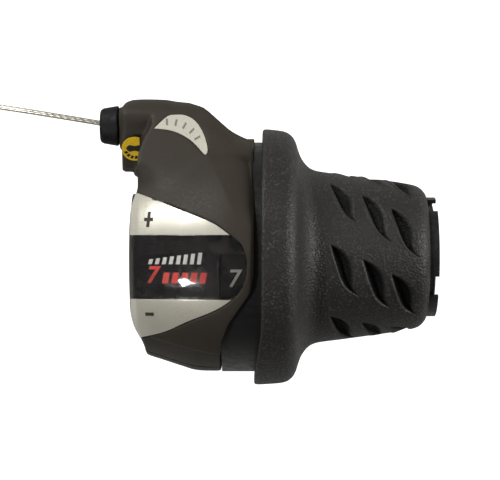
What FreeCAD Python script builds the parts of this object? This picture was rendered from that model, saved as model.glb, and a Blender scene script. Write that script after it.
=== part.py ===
"""Twist-grip gear shifter for a 22.2 mm handlebar.

Axes: +X runs along the handlebar, outboard. +Y points forward. +Z points up through the gear window.
The origin is on the bar's axis, at the inboard end of the clamp collar. Sizes are in millimetres.
Angles about the bar are in degrees from +Y towards +Z.
"""
import FreeCAD, Part
import math
import os

import Sketcher

PARTS_FOLDER = "parts"
UP_ANGLE = 90
WINDOW_NUMBER_ANGLE = 100.1
CLICK_ANGLE = 18
CLICKS = 6

doc = FreeCAD.newDocument("TwistShifter")
nodes = {}

# ---------------------------------------------------------------- driving dimensions

DIMENSIONS = {
    "bar_bore": 11.2,
    "sleeve_radius": 12.5,
    "sleeve_end": 69.0,
    "collar_radius": 14.6,
    "bulkhead_start": 11.0,
    "bulkhead_end": 13.0,
    "bulkhead_radius": 23.0,
    "post_inner": 21.0,
    "running_gap": 0.06,
    "shell_end": 20.4,
    "shell_radius": 26.4,
    "nose_end": 28.2,
    "nose_inner": 26.9,
    "wire_radius": 0.6,
    "wire_plane": 17.0,
    "wind_radius": 14.0,
    "bend_radius": 11.0,
    "guide_outer": 1.5,
    "guide_inner": 0.85,
    "outlet_y": 30.0,
    "outlet_z": 6.0,
    "outlet_radius": 6.5,
    "outlet_face": -2.75,
    "drum_flange": 16.4,
    "ratchet_radius": 20.4,
    "notch_radius": 1.6,
    "skirt_start": 20.6,
    "skirt_radius": 26.5,
    "skirt_wall": 1.6,
    "core_radius": 13.8,
    "core_end": 67.0,
    "tab_end": 69.7,
    "flange_start": 29.4,
    "flange_end": 37.9,
    "flange_radius": 29.5,
    "grip_end": 67.6,
    "rubber_gap": 0.05,
    "knob_start": -7.2,
    "knob_radius": 4.6,
    "clamp_x": 6.6,
    "clamp_z": -19.5,
    "ear_outer": 6.5,
    "screw_y": 17.4,
    "screw_x": 5.0,
    "lens_thickness": 1.0,
}


class Size:
    """A number with the sheet expression that gives it, so that both stay together."""

    def __init__(self, value, text):
        self.value = float(value)
        self.text = text

    def __add__(self, other):
        return Size(self.value + number(other), f"({self.text} + {text_of(other)})")

    __radd__ = __add__

    def __sub__(self, other):
        return Size(self.value - number(other), f"({self.text} - {text_of(other)})")

    def __rsub__(self, other):
        return Size(number(other) - self.value, f"({text_of(other)} - {self.text})")

    def __mul__(self, other):
        return Size(self.value * number(other), f"({self.text} * {text_of(other)})")

    __rmul__ = __mul__

    def __neg__(self):
        return Size(-self.value, f"(0 - {self.text})")


def number(value):
    return value.value if isinstance(value, Size) else float(value)


def text_of(value):
    return value.text if isinstance(value, Size) else f"({float(value)})"


def make_sheet():
    """Put every driving dimension in a cell of its own and give it an alias."""
    sheet = doc.addObject("Spreadsheet::Sheet", "Dims")
    sizes = {}
    for row, (name, value) in enumerate(DIMENSIONS.items(), start=1):
        sheet.set(f"A{row}", name)
        sheet.set(f"B{row}", str(value))
        sheet.setAlias(f"B{row}", name)
        sizes[name] = Size(value, f"Dims.{name}")
    doc.recompute()
    return sizes


D = make_sheet()


# ---------------------------------------------------------------- building blocks


def bind(obj, prop, value):
    """Set a property, and tie it to the sheet when the value comes from there."""
    if prop.startswith("Placement"):
        if isinstance(value, Size):
            obj.setExpression(prop, value.text)
        return
    setattr(obj, prop, number(value))
    if isinstance(value, Size):
        obj.setExpression(prop, value.text)


def about_bar(angle):
    """Rotation that lays a cylinder along +X with its seam at the given angle."""
    along_x = FreeCAD.Rotation(FreeCAD.Vector(1, 1, 1), 120)
    turn = FreeCAD.Rotation(FreeCAD.Vector(1, 0, 0), angle)
    return turn.multiply(along_x)


ALONG = {
    "X": FreeCAD.Rotation(FreeCAD.Vector(1, 1, 1), 120),
    "Y": FreeCAD.Rotation(FreeCAD.Vector(1, 0, 0), -90),
    "Z": FreeCAD.Rotation(),
}


def place(obj, base, rotation=None):
    obj.Placement = FreeCAD.Placement(
        FreeCAD.Vector(*[number(v) for v in base]), rotation or FreeCAD.Rotation()
    )
    for axis, value in zip("xyz", base):
        bind(obj, f"Placement.Base.{axis}", value)
    return obj


def box(name, low, high):
    obj = doc.addObject("Part::Box", name)
    for prop, a, b in zip(("Length", "Width", "Height"), low, high):
        bind(obj, prop, b - a)
    return place(obj, low)


def cylinder(name, radius, base, length, along="X", start=0.0, sweep=360.0):
    """A cylinder, or a slice of one that spans sweep degrees from start."""
    obj = doc.addObject("Part::Cylinder", name)
    bind(obj, "Radius", radius)
    bind(obj, "Height", length)
    obj.Angle = sweep
    rotation = about_bar(start) if along == "X" else ALONG[along]
    return place(obj, base, rotation)


def cut(name, base, *tools):
    obj = doc.addObject("Part::Cut", name)
    obj.Base = base
    obj.Tool = tools[0] if len(tools) == 1 else fuse(name + "_tools", *tools)
    return obj


def fuse(name, *shapes):
    obj = doc.addObject("Part::MultiFuse", name)
    obj.Shapes = list(shapes)
    return obj


def common(name, base, tool):
    obj = doc.addObject("Part::Common", name)
    obj.Base = base
    obj.Tool = tool
    return obj


def group(name, shapes):
    """Several separate solids that make one sub-part."""
    obj = doc.addObject("Part::Compound", name)
    obj.Links = list(shapes)
    return obj


def ring(name, inner, outer, start, end, y=0.0, z=0.0):
    length = end - start
    disc = cylinder(name + "_outer", outer, (start, y, z), length)
    hole = cylinder(name + "_hole", inner, (start, y, z), length)
    return cut(name, disc, hole)


def sector(name, inner, outer, start, end, middle, half_width):
    """A block between two radii and two bar positions, centred on an angle."""
    first = middle - half_width
    sweep = 2 * half_width
    length = end - start
    slice_ = cylinder(name + "_slice", outer, (start, 0, 0), length, start=first, sweep=sweep)
    hole = cylinder(name + "_hole", inner, (start, 0, 0), length)
    return cut(name, slice_, hole)


def at_angle(radius, angle):
    """Y and Z of a point at a radius and an angle about the bar."""
    turn = math.radians(angle)
    return radius * math.cos(turn), radius * math.sin(turn)


def outline_body(name, points, plane="XY_Plane", offset=0.0):
    """A body with a closed outline sketch, each vertex tied to the sheet."""
    body = doc.addObject("PartDesign::Body", name)
    sketch = body.newObject("Sketcher::SketchObject", name + "_outline")
    role = [f for f in body.Origin.OriginFeatures if f.Role == plane][0]
    sketch.AttachmentSupport = [(role, "")]
    sketch.MapMode = "FlatFace"
    sketch.AttachmentOffset = FreeCAD.Placement(
        FreeCAD.Vector(0, 0, number(offset)), FreeCAD.Rotation()
    )
    if isinstance(offset, Size):
        sketch.setExpression("AttachmentOffset.Base.z", offset.text)
    corners = [FreeCAD.Vector(number(u), number(v), 0) for u, v in points]
    count = len(corners)
    for i in range(count):
        sketch.addGeometry(Part.LineSegment(corners[i], corners[(i + 1) % count]), False)
    for i in range(count):
        sketch.addConstraint(Sketcher.Constraint("Coincident", i, 2, (i + 1) % count, 1))
    for i, (u, v) in enumerate(points):
        for kind, value in (("DistanceX", u), ("DistanceY", v)):
            index = sketch.addConstraint(
                Sketcher.Constraint(kind, -1, 1, i, 1, number(value))
            )
            if isinstance(value, Size):
                sketch.setExpression(f"Constraints[{index}]", value.text)
    return body, sketch


def turned(name, points, sweep=360.0):
    """A body turned about the bar from an outline of (position, radius) points."""
    body, sketch = outline_body(name, points)
    revolution = body.newObject("PartDesign::Revolution", name + "_turn")
    revolution.Profile = sketch
    revolution.ReferenceAxis = (sketch, ["H_Axis"])
    revolution.Angle = sweep
    return body


def prism(name, points, start, end, plane="XY_Plane"):
    """A body pushed from start to end, square to its outline's plane."""
    body, sketch = outline_body(name, points, plane, start)
    pad = body.newObject("PartDesign::Pad", name + "_pad")
    pad.Profile = sketch
    bind(pad, "Length", end - start)
    return body


def turned_range(name, points, first, last):
    """A turned body that spans the angles from first to last."""
    body = turned(name, points, last - first)
    body.Placement = FreeCAD.Placement(
        FreeCAD.Vector(), FreeCAD.Rotation(FreeCAD.Vector(1, 0, 0), first)
    )
    return body


def keep(obj, label):
    """Name a finished sub-part and keep it for export."""
    obj.Label = label
    nodes[label] = obj
    return obj


# ---------------------------------------------------------------- clamp and sleeve

SLIT_HALF = 1.5
POST_HALF_ANGLE = 4.0
SPRING_POST_ANGLES = (242.0, 298.0)
STOP_LUG_HALF_ANGLE = 5.0
STOP_GAP_ANGLE = 0.3
BOLT_RADIUS = 2.5
DETENT_ANGLE = 270.0

lug_at_end = SPRING_POST_ANGLES[0] - POST_HALF_ANGLE - STOP_LUG_HALF_ANGLE - STOP_GAP_ANGLE
lug_at_rest = lug_at_end - CLICK_ANGLE * CLICKS
stop_post_angle = lug_at_rest - STOP_LUG_HALF_ANGLE - POST_HALF_ANGLE - STOP_GAP_ANGLE


def make_bracket():
    """Split collar, bulkhead and long sleeve that the grip turns on."""
    body = turned(
        "bracket_turned",
        [
            (0, D["bar_bore"]),
            (0, D["collar_radius"]),
            (D["bulkhead_start"], D["collar_radius"]),
            (D["bulkhead_start"], D["bulkhead_radius"]),
            (D["bulkhead_end"], D["bulkhead_radius"]),
            (D["bulkhead_end"], D["sleeve_radius"]),
            (D["core_end"] + 0.6, D["sleeve_radius"]),
            (D["core_end"] + 0.6, D["sleeve_radius"] - 0.6),
            (D["core_end"] + 1.4, D["sleeve_radius"] - 0.6),
            (D["core_end"] + 1.4, D["sleeve_radius"]),
            (D["sleeve_end"] - 0.3, D["sleeve_radius"]),
            (D["sleeve_end"], D["sleeve_radius"] - 0.3),
            (D["sleeve_end"], D["bar_bore"]),
        ],
    )
    ear_bottom = D["clamp_z"] - 5.0
    ears = box(
        "clamp_ears",
        (2.4, -D["ear_outer"], ear_bottom),
        (D["bulkhead_start"] - 0.2, D["ear_outer"], -D["bar_bore"] - 1.5),
    )
    posts = [
        sector(
            f"spring_post_{i}",
            D["post_inner"],
            D["bulkhead_radius"],
            D["bulkhead_end"] - 0.5,
            D["skirt_start"] + 1.4,
            angle,
            POST_HALF_ANGLE,
        )
        for i, angle in enumerate(SPRING_POST_ANGLES)
    ]
    stop_post = sector(
        "stop_post",
        D["post_inner"],
        D["bulkhead_radius"],
        D["bulkhead_end"] - 0.5,
        D["shell_end"] - 0.8,
        stop_post_angle,
        POST_HALF_ANGLE,
    )
    whole = fuse("bracket_whole", body, ears, stop_post, *posts)
    slit = box(
        "clamp_slit",
        (-1.0, -SLIT_HALF, ear_bottom - 1),
        (D["bulkhead_start"] - 0.1, SLIT_HALF, -D["bar_bore"] + 2.0),
    )
    hole = cylinder(
        "clamp_hole", BOLT_RADIUS + 0.1, (D["clamp_x"], -10, D["clamp_z"]), 20, along="Y"
    )
    bore = cylinder("bar_clearance", D["bar_bore"], (-1, 0, 0), D["sleeve_end"] + 2)
    return keep(cut("bracket_cut", whole, slit, hole, bore), "bracket_core")


def make_clamp_hardware():
    """Socket-head bolt and square nut that close the collar on the bar."""
    head_start = -11.2
    seat = D["ear_outer"] + 0.05
    head = cylinder(
        "bolt_head", 4.1, (D["clamp_x"], head_start, D["clamp_z"]), -head_start - seat, along="Y"
    )
    shank = cylinder(
        "bolt_shank", BOLT_RADIUS, (D["clamp_x"], -7.0, D["clamp_z"]), 16.6, along="Y"
    )
    socket = doc.addObject("Part::Prism", "bolt_socket")
    socket.Polygon = 6
    socket.Circumradius = 2.31
    socket.Height = 3.0
    place(socket, (D["clamp_x"], head_start - 0.5, D["clamp_z"]), ALONG["Y"])
    keep(cut("bolt_cut", fuse("bolt_whole", head, shank), socket), "clamp_bolt")
    nut_half = 4.0
    nut = box(
        "nut_block",
        (D["clamp_x"] - nut_half, seat, D["clamp_z"] - nut_half),
        (D["clamp_x"] + nut_half, seat + 3.0, D["clamp_z"] + nut_half),
    )
    thread = cylinder(
        "nut_thread", BOLT_RADIUS + 0.02, (D["clamp_x"], 5, D["clamp_z"]), 8, along="Y"
    )
    keep(cut("nut_cut", nut, thread), "clamp_nut")


# ---------------------------------------------------------------- housing halves

SPLIT_HEIGHT = 2.0
SPLIT_SLOPE = -0.25
SPLIT_GAP = 0.05
SCREW_HOLE = 1.45
BOSS_RADIUS = 2.3
WINDOW_TOP_Y = 5.0
WINDOW_BOTTOM_Y = -9.2
LABEL_END_X = 20.3

# Outer radius of the upper housing along the bar, as (position, radius).
FRONT_PROFILE = [
    (0.5, 20.0),
    (1.5, 21.8),
    (3.3, 22.9),
    (6.6, 24.3),
    (11.2, 26.1),
    (15.0, 27.3),
    (18.5, 28.2),
    (22.5, 28.8),
    (26.0, 28.5),
    (28.0, 27.6),
]

# Leaf-shaped window seen from above, as (along the bar, forward).
WINDOW_LEAF = [
    (1.2, 14.7),
    (11.0, 10.9),
    (19.3, 7.4),
    (22.4, 5.2),
    (25.2, 2.8),
    (26.3, -0.9),
    (26.1, -3.8),
    (25.0, -7.0),
    (22.5, -9.6),
    (19.3, -11.6),
    (13.6, -14.0),
    (7.9, -16.6),
    (1.2, -18.4),
]

# Crescent badge seen from above.
BADGE_OUTLINE = [
    (5.6, 29.0),
    (8.5, 32.0),
    (11.6, 32.1),
    (13.9, 31.5),
    (16.2, 28.4),
    (17.5, 25.0),
    (17.1, 23.0),
    (15.1, 25.0),
    (13.3, 26.8),
    (10.5, 28.2),
    (7.6, 28.8),
]


def shell_wall():
    """Wall of the round housing: outer outline out, inner outline back."""
    return turned(
        "shell_wall",
        [
            (0, 15.0),
            (0, 17.6),
            (0.5, 20.0),
            (1.5, 21.6),
            (3.3, 22.6),
            (6.6, 23.7),
            (11.2, 25.2),
            (14.7, 26.2),
            (D["shell_end"], D["shell_radius"]),
            (D["shell_end"], D["shell_radius"] - 1.8),
            (14.7, 24.4),
            (11.2, 23.4),
            (6.6, 21.9),
            (3.6, 20.8),
            (1.8, 19.4),
            (1.8, 15.0),
        ],
    )


def front_wall():
    """Raised wall over the gear numbers, with a lower edge that sweeps inboard."""
    wall = turned_range(
        "front_wall",
        FRONT_PROFILE
        + [
            (D["nose_end"], D["nose_inner"]),
            (D["shell_end"], D["nose_inner"]),
            (D["shell_end"], D["shell_radius"] - 1.8),
            (14.7, 24.4),
            (6.6, 21.9),
            (1.8, 19.4),
        ],
        -20,
        140,
    )
    sweep = prism(
        "edge_sweep",
        [
            (28.6, -1.0),
            (27.4, -7.3),
            (24.7, -11.0),
            (22.1, -14.7),
            (20.6, -18.7),
            (D["shell_end"], -30.0),
            (32.0, -30.0),
            (32.0, -1.0),
        ],
        0,
        32,
    )
    return cut("front_wall_cut", wall, sweep)


def tangent_pair(side):
    """Ends of the straight line that touches the round body and the outlet tube."""
    body_radius = 25.0
    outlet_radius = DIMENSIONS["outlet_radius"]
    y = DIMENSIONS["outlet_y"]
    z = DIMENSIONS["outlet_z"]
    lean = math.asin((body_radius - outlet_radius) / math.hypot(y, z))
    normal = math.atan2(z, y) + side * (math.pi / 2 - lean)
    c, s = math.cos(normal), math.sin(normal)
    return (body_radius * c, body_radius * s), (y + outlet_radius * c, z + outlet_radius * s)


def outlet_lobe():
    """Forward lobe that carries the wire from the drum to the adjuster."""
    near, far = tangent_pair(1)
    low_near, low_far = tangent_pair(-1)
    hull = prism("lobe_hull", [near, far, low_far, low_near], 1.0, 27.9, "YZ_Plane")
    tube = cylinder(
        "lobe_tube", D["outlet_radius"], (0, D["outlet_y"], D["outlet_z"]), 26
    )
    shoulder = prism(
        "lobe_shoulder",
        [(12.8, 36.6), (16.4, 34.9), (17.9, 33.8), (27.4, 27.0), (29, 25.9), (29, 40), (12.8, 40)],
        -20,
        30,
    )
    inner_edge = prism(
        "lobe_inner_edge",
        [(5.8, 37), (4.8, 29.8), (3.3, 27.1), (2.1, 23.7), (1.6, 19.5), (-1, 19.5), (-1, 37)],
        -20,
        30,
    )
    lobe = cut("lobe_trimmed", fuse("lobe_whole", hull, tube), shoulder, inner_edge)
    nose_tube = cylinder(
        "nose_tube",
        D["outlet_radius"],
        (D["outlet_face"] + 1.2, D["outlet_y"], D["outlet_z"]),
        9.0,
    )
    nose_cone = doc.addObject("Part::Cone", "nose_cone")
    bind(nose_cone, "Radius1", D["outlet_radius"] - 1.4)
    bind(nose_cone, "Radius2", D["outlet_radius"])
    nose_cone.Height = 1.2
    place(nose_cone, (D["outlet_face"], D["outlet_y"], D["outlet_z"]), ALONG["X"])
    return fuse("lobe", lobe, nose_tube, nose_cone, nose_block())


FACET_TOP = (26.7, 11.6)
FACET_BOTTOM = (19.8, 7.5)


def nose_block():
    """Block beside the adjuster with the flat facet for the round sticker."""
    return prism(
        "nose_block",
        [FACET_TOP, FACET_BOTTOM, (19.6, 1.5), (22.0, -1.5), (30.0, -0.4), (30.0, 11.6)],
        D["outlet_face"] + 0.6,
        6.0,
        "YZ_Plane",
    )


def half_space(name, upper):
    """A large block on one side of the sloping plane where the halves meet."""
    turn = FreeCAD.Rotation(FreeCAD.Vector(1, 0, 0), math.degrees(math.atan(SPLIT_SLOPE)))
    reach = 60.0
    block = doc.addObject("Part::Box", name)
    block.Length = 2 * reach
    block.Width = 2 * reach
    block.Height = reach
    drop = 0.0 if upper else -reach - SPLIT_GAP
    corner = turn.multVec(FreeCAD.Vector(-reach, -reach, drop))
    block.Placement = FreeCAD.Placement(corner + FreeCAD.Vector(0, 0, SPLIT_HEIGHT), turn)
    return block


def badge_slab(name, below, above):
    """Thin layer parallel to the lobe's sloping top face."""
    near, far = tangent_pair(1)
    slope = math.degrees(math.atan2(far[1] - near[1], far[0] - near[0]))
    turn = FreeCAD.Rotation(FreeCAD.Vector(1, 0, 0), slope)
    slab = doc.addObject("Part::Box", name)
    slab.Length = 40
    slab.Width = 60
    slab.Height = above - below
    corner = turn.multVec(FreeCAD.Vector(0, -20, below))
    slab.Placement = FreeCAD.Placement(corner + FreeCAD.Vector(0, near[0], near[1]), turn)
    outline = prism(name + "_outline", BADGE_OUTLINE, 3, 32)
    return common(name + "_badge", slab, outline)


def screw_bosses(name, radius, low, high):
    return [
        cylinder(
            f"{name}_{i}", radius, (D["screw_x"], side * D["screw_y"], low), high - low, along="Z"
        )
        for i, side in enumerate((-1, 1))
    ]


def make_housing():
    """Upper and lower halves of the housing, cut from one outer shape."""
    walls = fuse("housing_walls", shell_wall(), front_wall(), outlet_lobe())
    cavity = turned(
        "cavity",
        [
            (1.8, 0),
            (1.8, 19.4),
            (3.6, 20.8),
            (6.6, 21.9),
            (11.2, 23.4),
            (14.7, 24.4),
            (D["shell_end"], D["shell_radius"] - 1.8),
            (D["shell_end"], D["nose_inner"]),
            (D["nose_end"] + 2, D["nose_inner"]),
            (D["nose_end"] + 2, 0),
        ],
    )
    mouth = cylinder("collar_mouth", 15.0, (-1, 0, 0), 4)
    hollow = cut("housing_hollow", walls, cavity, mouth)

    insert_hole = cylinder(
        "insert_hole", 3.6, (D["outlet_face"] - 1, D["outlet_y"], D["outlet_z"]), 8.75
    )
    channel = doc.addObject("Part::Feature", "guide_channel")
    channel.Shape = swept_disc(guide_route(0.5, 5.0), DIMENSIONS["guide_outer"] + 0.05)
    leaf = prism("window_opening", WINDOW_LEAF, 5, 32)
    badge_recess = badge_slab("badge_recess", -0.35, 3.0)

    upper_bosses = screw_bosses("upper_boss", BOSS_RADIUS, -8.0, 11.0)
    upper = fuse("upper_walls", hollow, *upper_bosses)
    upper_holes = screw_bosses("upper_screw_hole", SCREW_HOLE, -9.0, 9.5)
    upper_half = common("upper_raw", upper, half_space("upper_space", True))
    keep(
        cut("upper_cut", upper_half, insert_hole, channel, leaf, badge_recess, *upper_holes),
        "upper_housing",
    )

    pocket = box(
        "clamp_pocket", (2.2, -10.0, -27.0), (D["bulkhead_start"] - 0.1, 10.0, -12.0)
    )
    cover = box("clamp_cover", (0.8, -11.6, -28.4), (12.4, 11.6, -20.0))
    lower_bosses = screw_bosses("lower_boss", 3.4, -16.4, 9.0)
    lower = fuse("lower_walls", hollow, cover, *lower_bosses)
    inner_space = cylinder(
        "mechanism_space", D["bulkhead_radius"] + 0.4, (D["bulkhead_start"] - 0.1, 0, 0), 9.5
    )
    collar_space = cylinder("collar_space", 15.0, (-1, 0, 0), 20)
    lower_half = common("lower_raw", lower, half_space("lower_space", False))
    heads = screw_bosses("head_recess", 2.9, -17.0, -13.6)
    holes = screw_bosses("lower_screw_hole", SCREW_HOLE + 0.1, -17.0, 10.0)
    key_hole = cylinder("key_hole", 4.6, (D["clamp_x"], -14, D["clamp_z"]), 6, along="Y")
    port_hole = radial_pin("port_hole", 3.05, 22.0, 28.0, PORT_ANGLE)
    keep(
        cut(
            "lower_cut",
            lower_half,
            pocket,
            inner_space,
            collar_space,
            key_hole,
            port_hole,
            *heads,
            *holes,
        ),
        "lower_housing",
    )


PORT_ANGLE = 228.0


def radial_pin(name, radius, inner, outer, angle):
    """A cylinder that points straight out from the bar at the wire's plane."""
    turn = FreeCAD.Rotation(FreeCAD.Vector(1, 0, 0), angle).multiply(ALONG["Y"])
    y, z = at_angle(inner, angle)
    pin = doc.addObject("Part::Cylinder", name)
    pin.Radius = radius
    pin.Height = outer - inner
    return place(pin, (D["wire_plane"], y, z), turn)


def make_port_cap():
    """Round plug over the hole where a wire's head is pushed out."""
    plug = radial_pin("port_plug", 3.0, 24.3, 26.9, PORT_ANGLE)
    dimple = radial_pin("port_dimple", 1.2, 26.4, 27.5, PORT_ANGLE)
    keep(cut("port_cut", plug, dimple), "port_cap")


def make_housing_screws():
    """Two pan-head screws that hold the housing halves together."""
    screws = []
    for i, side in enumerate((-1, 1)):
        y = side * D["screw_y"]
        head = cylinder(f"screw_head_{i}", 2.7, (D["screw_x"], y, -15.6), 2.0, along="Z")
        shank = cylinder(f"screw_shank_{i}", 1.4, (D["screw_x"], y, -14.0), 22.5, along="Z")
        slot = box(
            f"screw_slot_{i}", (D["screw_x"] - 3, y - 0.35, -16.0), (D["screw_x"] + 3, y + 0.35, -14.9)
        )
        screws.append(cut(f"screw_{i}", fuse(f"screw_whole_{i}", head, shank), slot))
    keep(group("screws", screws), "housing_screws")


# ---------------------------------------------------------------- window, panels, badge


def window_layer(name, outer_drop, inner_drop, y_low, y_high, x_end):
    """Piece of a curved sheet that follows the upper housing inside the window."""
    outer = [(x, radius - outer_drop) for x, radius in FRONT_PROFILE[1:]]
    inner = [(x, radius - inner_drop) for x, radius in reversed(FRONT_PROFILE[1:])]
    sheet = turned_range(name + "_sheet", outer + inner, 20, 160)
    leaf = common(name + "_leaf", sheet, prism(name + "_outline", WINDOW_LEAF, 5, 32))
    strip = box(name + "_strip", (-1, y_low, 0), (x_end, y_high, 40))
    return common(name + "_piece", leaf, strip)


def make_window():
    """Clear lens, its black label and the two bright panels beside it."""
    depth = number(D["lens_thickness"])
    whole = DIMENSIONS["nose_end"]
    keep(
        window_layer("lens", 0.25, 0.25 + depth, WINDOW_BOTTOM_Y, WINDOW_TOP_Y, whole),
        "window_lens",
    )
    keep(window_layer("upper", 0.15, 1.15, WINDOW_TOP_Y, 16, whole), "upper_panel")
    keep(window_layer("lower", 0.15, 1.15, -20, WINDOW_BOTTOM_Y, whole), "lower_panel")
    keep(
        window_layer("label", 1.3, 1.8, WINDOW_BOTTOM_Y, WINDOW_TOP_Y, LABEL_END_X),
        "window_label",
    )
    keep(badge_slab("badge", -0.35, 0.25), "crescent_badge")


def make_sticker():
    """Thin round sticker on the flat facet; the housing hides its outboard side."""
    radius = 3.0
    centre_y = 24.6
    slope = (FACET_TOP[1] - FACET_BOTTOM[1]) / (FACET_TOP[0] - FACET_BOTTOM[0])
    centre_z = FACET_BOTTOM[1] + slope * (centre_y - FACET_BOTTOM[0])
    turn = FreeCAD.Rotation(FreeCAD.Vector(1, 0, 0), math.degrees(math.atan(slope)))
    disc = doc.addObject("Part::Cylinder", "sticker_disc")
    disc.Radius = radius
    disc.Height = 0.15
    place(disc, (0.9, centre_y, centre_z), turn)
    keep(cut("sticker_cut", disc, box("sticker_edge", (2.0, 15, 0), (9, 35, 30))), "round_sticker")


# ---------------------------------------------------------------- wire, guide, adjuster

SEAT_X = -3.55
NIPPLE_ANGLE = 120.0
NIPPLE_RADIUS = 1.9
COIL_RADIUS = 11.9
COIL_BUNDLE = 3.1
WIRE_LENGTH = 1700.0

# Free stretch of the wire: straight out of the adjuster, then down to the coil.
FREE_ROUTE = [
    (SEAT_X, 30.0, 6.0),
    (-36.0, 35.6, 5.6),
    (-64.0, 39.0, -12.0),
    (-84.0, 36.6, -25.5),
    (-98.0, 33.9, -25.5),
]


def wire_line():
    """Tangent point on the drum, direction of pull and distance to the outlet's axis."""
    radius = DIMENSIONS["wind_radius"]
    y, z = DIMENSIONS["outlet_y"], DIMENSIONS["outlet_z"]
    reach = math.sqrt(y * y + z * z - radius * radius)
    angle = math.atan2(radius, reach) - math.atan2(z, y)
    direction = FreeCAD.Vector(0, math.cos(angle), -math.sin(angle))
    tangent = FreeCAD.Vector(
        DIMENSIONS["wire_plane"], radius * math.sin(angle), radius * math.cos(angle)
    )
    return tangent, direction, reach


def guide_route(before, after):
    """Straight, quarter bend and straight from the drum to the adjuster."""
    tangent, direction, reach = wire_line()
    bend = DIMENSIONS["bend_radius"]
    start = tangent + direction * (12.6 - before)
    bend_start = tangent + direction * (reach - bend)
    bend_end = tangent + direction * reach - FreeCAD.Vector(bend, 0, 0)
    centre = bend_start - FreeCAD.Vector(bend, 0, 0)
    middle = centre + (direction + FreeCAD.Vector(1, 0, 0)) * (bend / math.sqrt(2))
    finish = bend_end - FreeCAD.Vector(after, 0, 0)
    return [
        Part.LineSegment(start, bend_start).toShape(),
        Part.Arc(bend_start, middle, bend_end).toShape(),
        Part.LineSegment(bend_end, finish).toShape(),
    ]


def swept_disc(edges, radius):
    """A round rod along a path of tangent edges."""
    path = Part.Wire(edges)
    first = edges[0]
    tangent = first.tangentAt(first.FirstParameter)
    start = first.valueAt(first.FirstParameter)
    profile = Part.Wire([Part.makeCircle(radius, start, tangent)])
    return path.makePipeShell([profile], True, True)


def check_volume(name, shape, radius, length):
    expected = math.pi * radius * radius * length
    ratio = shape.Volume / expected
    print(f"{name}: length {length:.2f} mm, volume ratio {ratio:.4f}")
    if abs(ratio - 1) > 0.01:
        raise RuntimeError(f"{name} has the wrong volume")


def make_guide():
    """Low-friction liner that leads the wire round the bend."""
    route = guide_route(0, 0.9)
    outer = swept_disc(route, DIMENSIONS["guide_outer"])
    longer = guide_route(0.5, 1.5)
    inner = swept_disc(longer, DIMENSIONS["guide_inner"])
    guide = doc.addObject("Part::Feature", "guide_tube")
    guide.Shape = outer.cut(inner)
    check_volume("guide", outer, DIMENSIONS["guide_outer"], sum(e.Length for e in route))
    keep(guide, "cable_guide")


def make_inner_wire():
    """Wire from its head on the drum, along the tangent and the guide, to the adjuster."""
    tangent, direction, reach = wire_line()
    plane = DIMENSIONS["wire_plane"]
    radius = DIMENSIONS["wind_radius"]
    tangent_angle = math.degrees(math.atan2(tangent.z, tangent.y))
    head_angle = NIPPLE_ANGLE - math.degrees((NIPPLE_RADIUS + 0.15) / radius)
    start = FreeCAD.Vector(plane, *at_angle(radius, head_angle))
    middle = FreeCAD.Vector(plane, *at_angle(radius, (head_angle + tangent_angle) / 2))
    bend = DIMENSIONS["bend_radius"]
    route = [Part.Arc(start, middle, tangent).toShape()]
    route.append(Part.LineSegment(tangent, tangent + direction * (reach - bend)).toShape())
    route += guide_route(0, plane - bend - SEAT_X)[1:]
    wire = doc.addObject("Part::Feature", "inner_wire")
    wire.Shape = swept_disc(route, DIMENSIONS["wire_radius"])
    length = sum(edge.Length for edge in route)
    check_volume("inner wire", wire.Shape, DIMENSIONS["wire_radius"], length)
    keep(wire, "wire_inside")
    return length


def route_edges(points):
    """Straight runs joined by tangent arcs, each as large as its two runs allow."""
    corners = [FreeCAD.Vector(*p) for p in points]
    edges = []
    start = corners[0]
    for before, corner, after in zip(corners, corners[1:], corners[2:]):
        back = (before - corner).normalize()
        ahead = (after - corner).normalize()
        shorter = min((before - corner).Length, (after - corner).Length)
        turn = math.pi - back.getAngle(ahead)
        trim = 0.45 * shorter
        radius = trim / math.tan(turn / 2)
        print(f"free wire: turn {math.degrees(turn):.1f} degrees, radius {radius:.1f} mm")
        first = corner + back * trim
        last = corner + ahead * trim
        inward = (back + ahead).normalize()
        centre = corner + inward * (radius / math.cos(turn / 2))
        middle = centre - inward * radius
        edges.append(Part.LineSegment(start, first).toShape())
        edges.append(Part.Arc(first, middle, last).toShape())
        start = last
    edges.append(Part.LineSegment(start, corners[-1]).toShape())
    return edges


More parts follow.
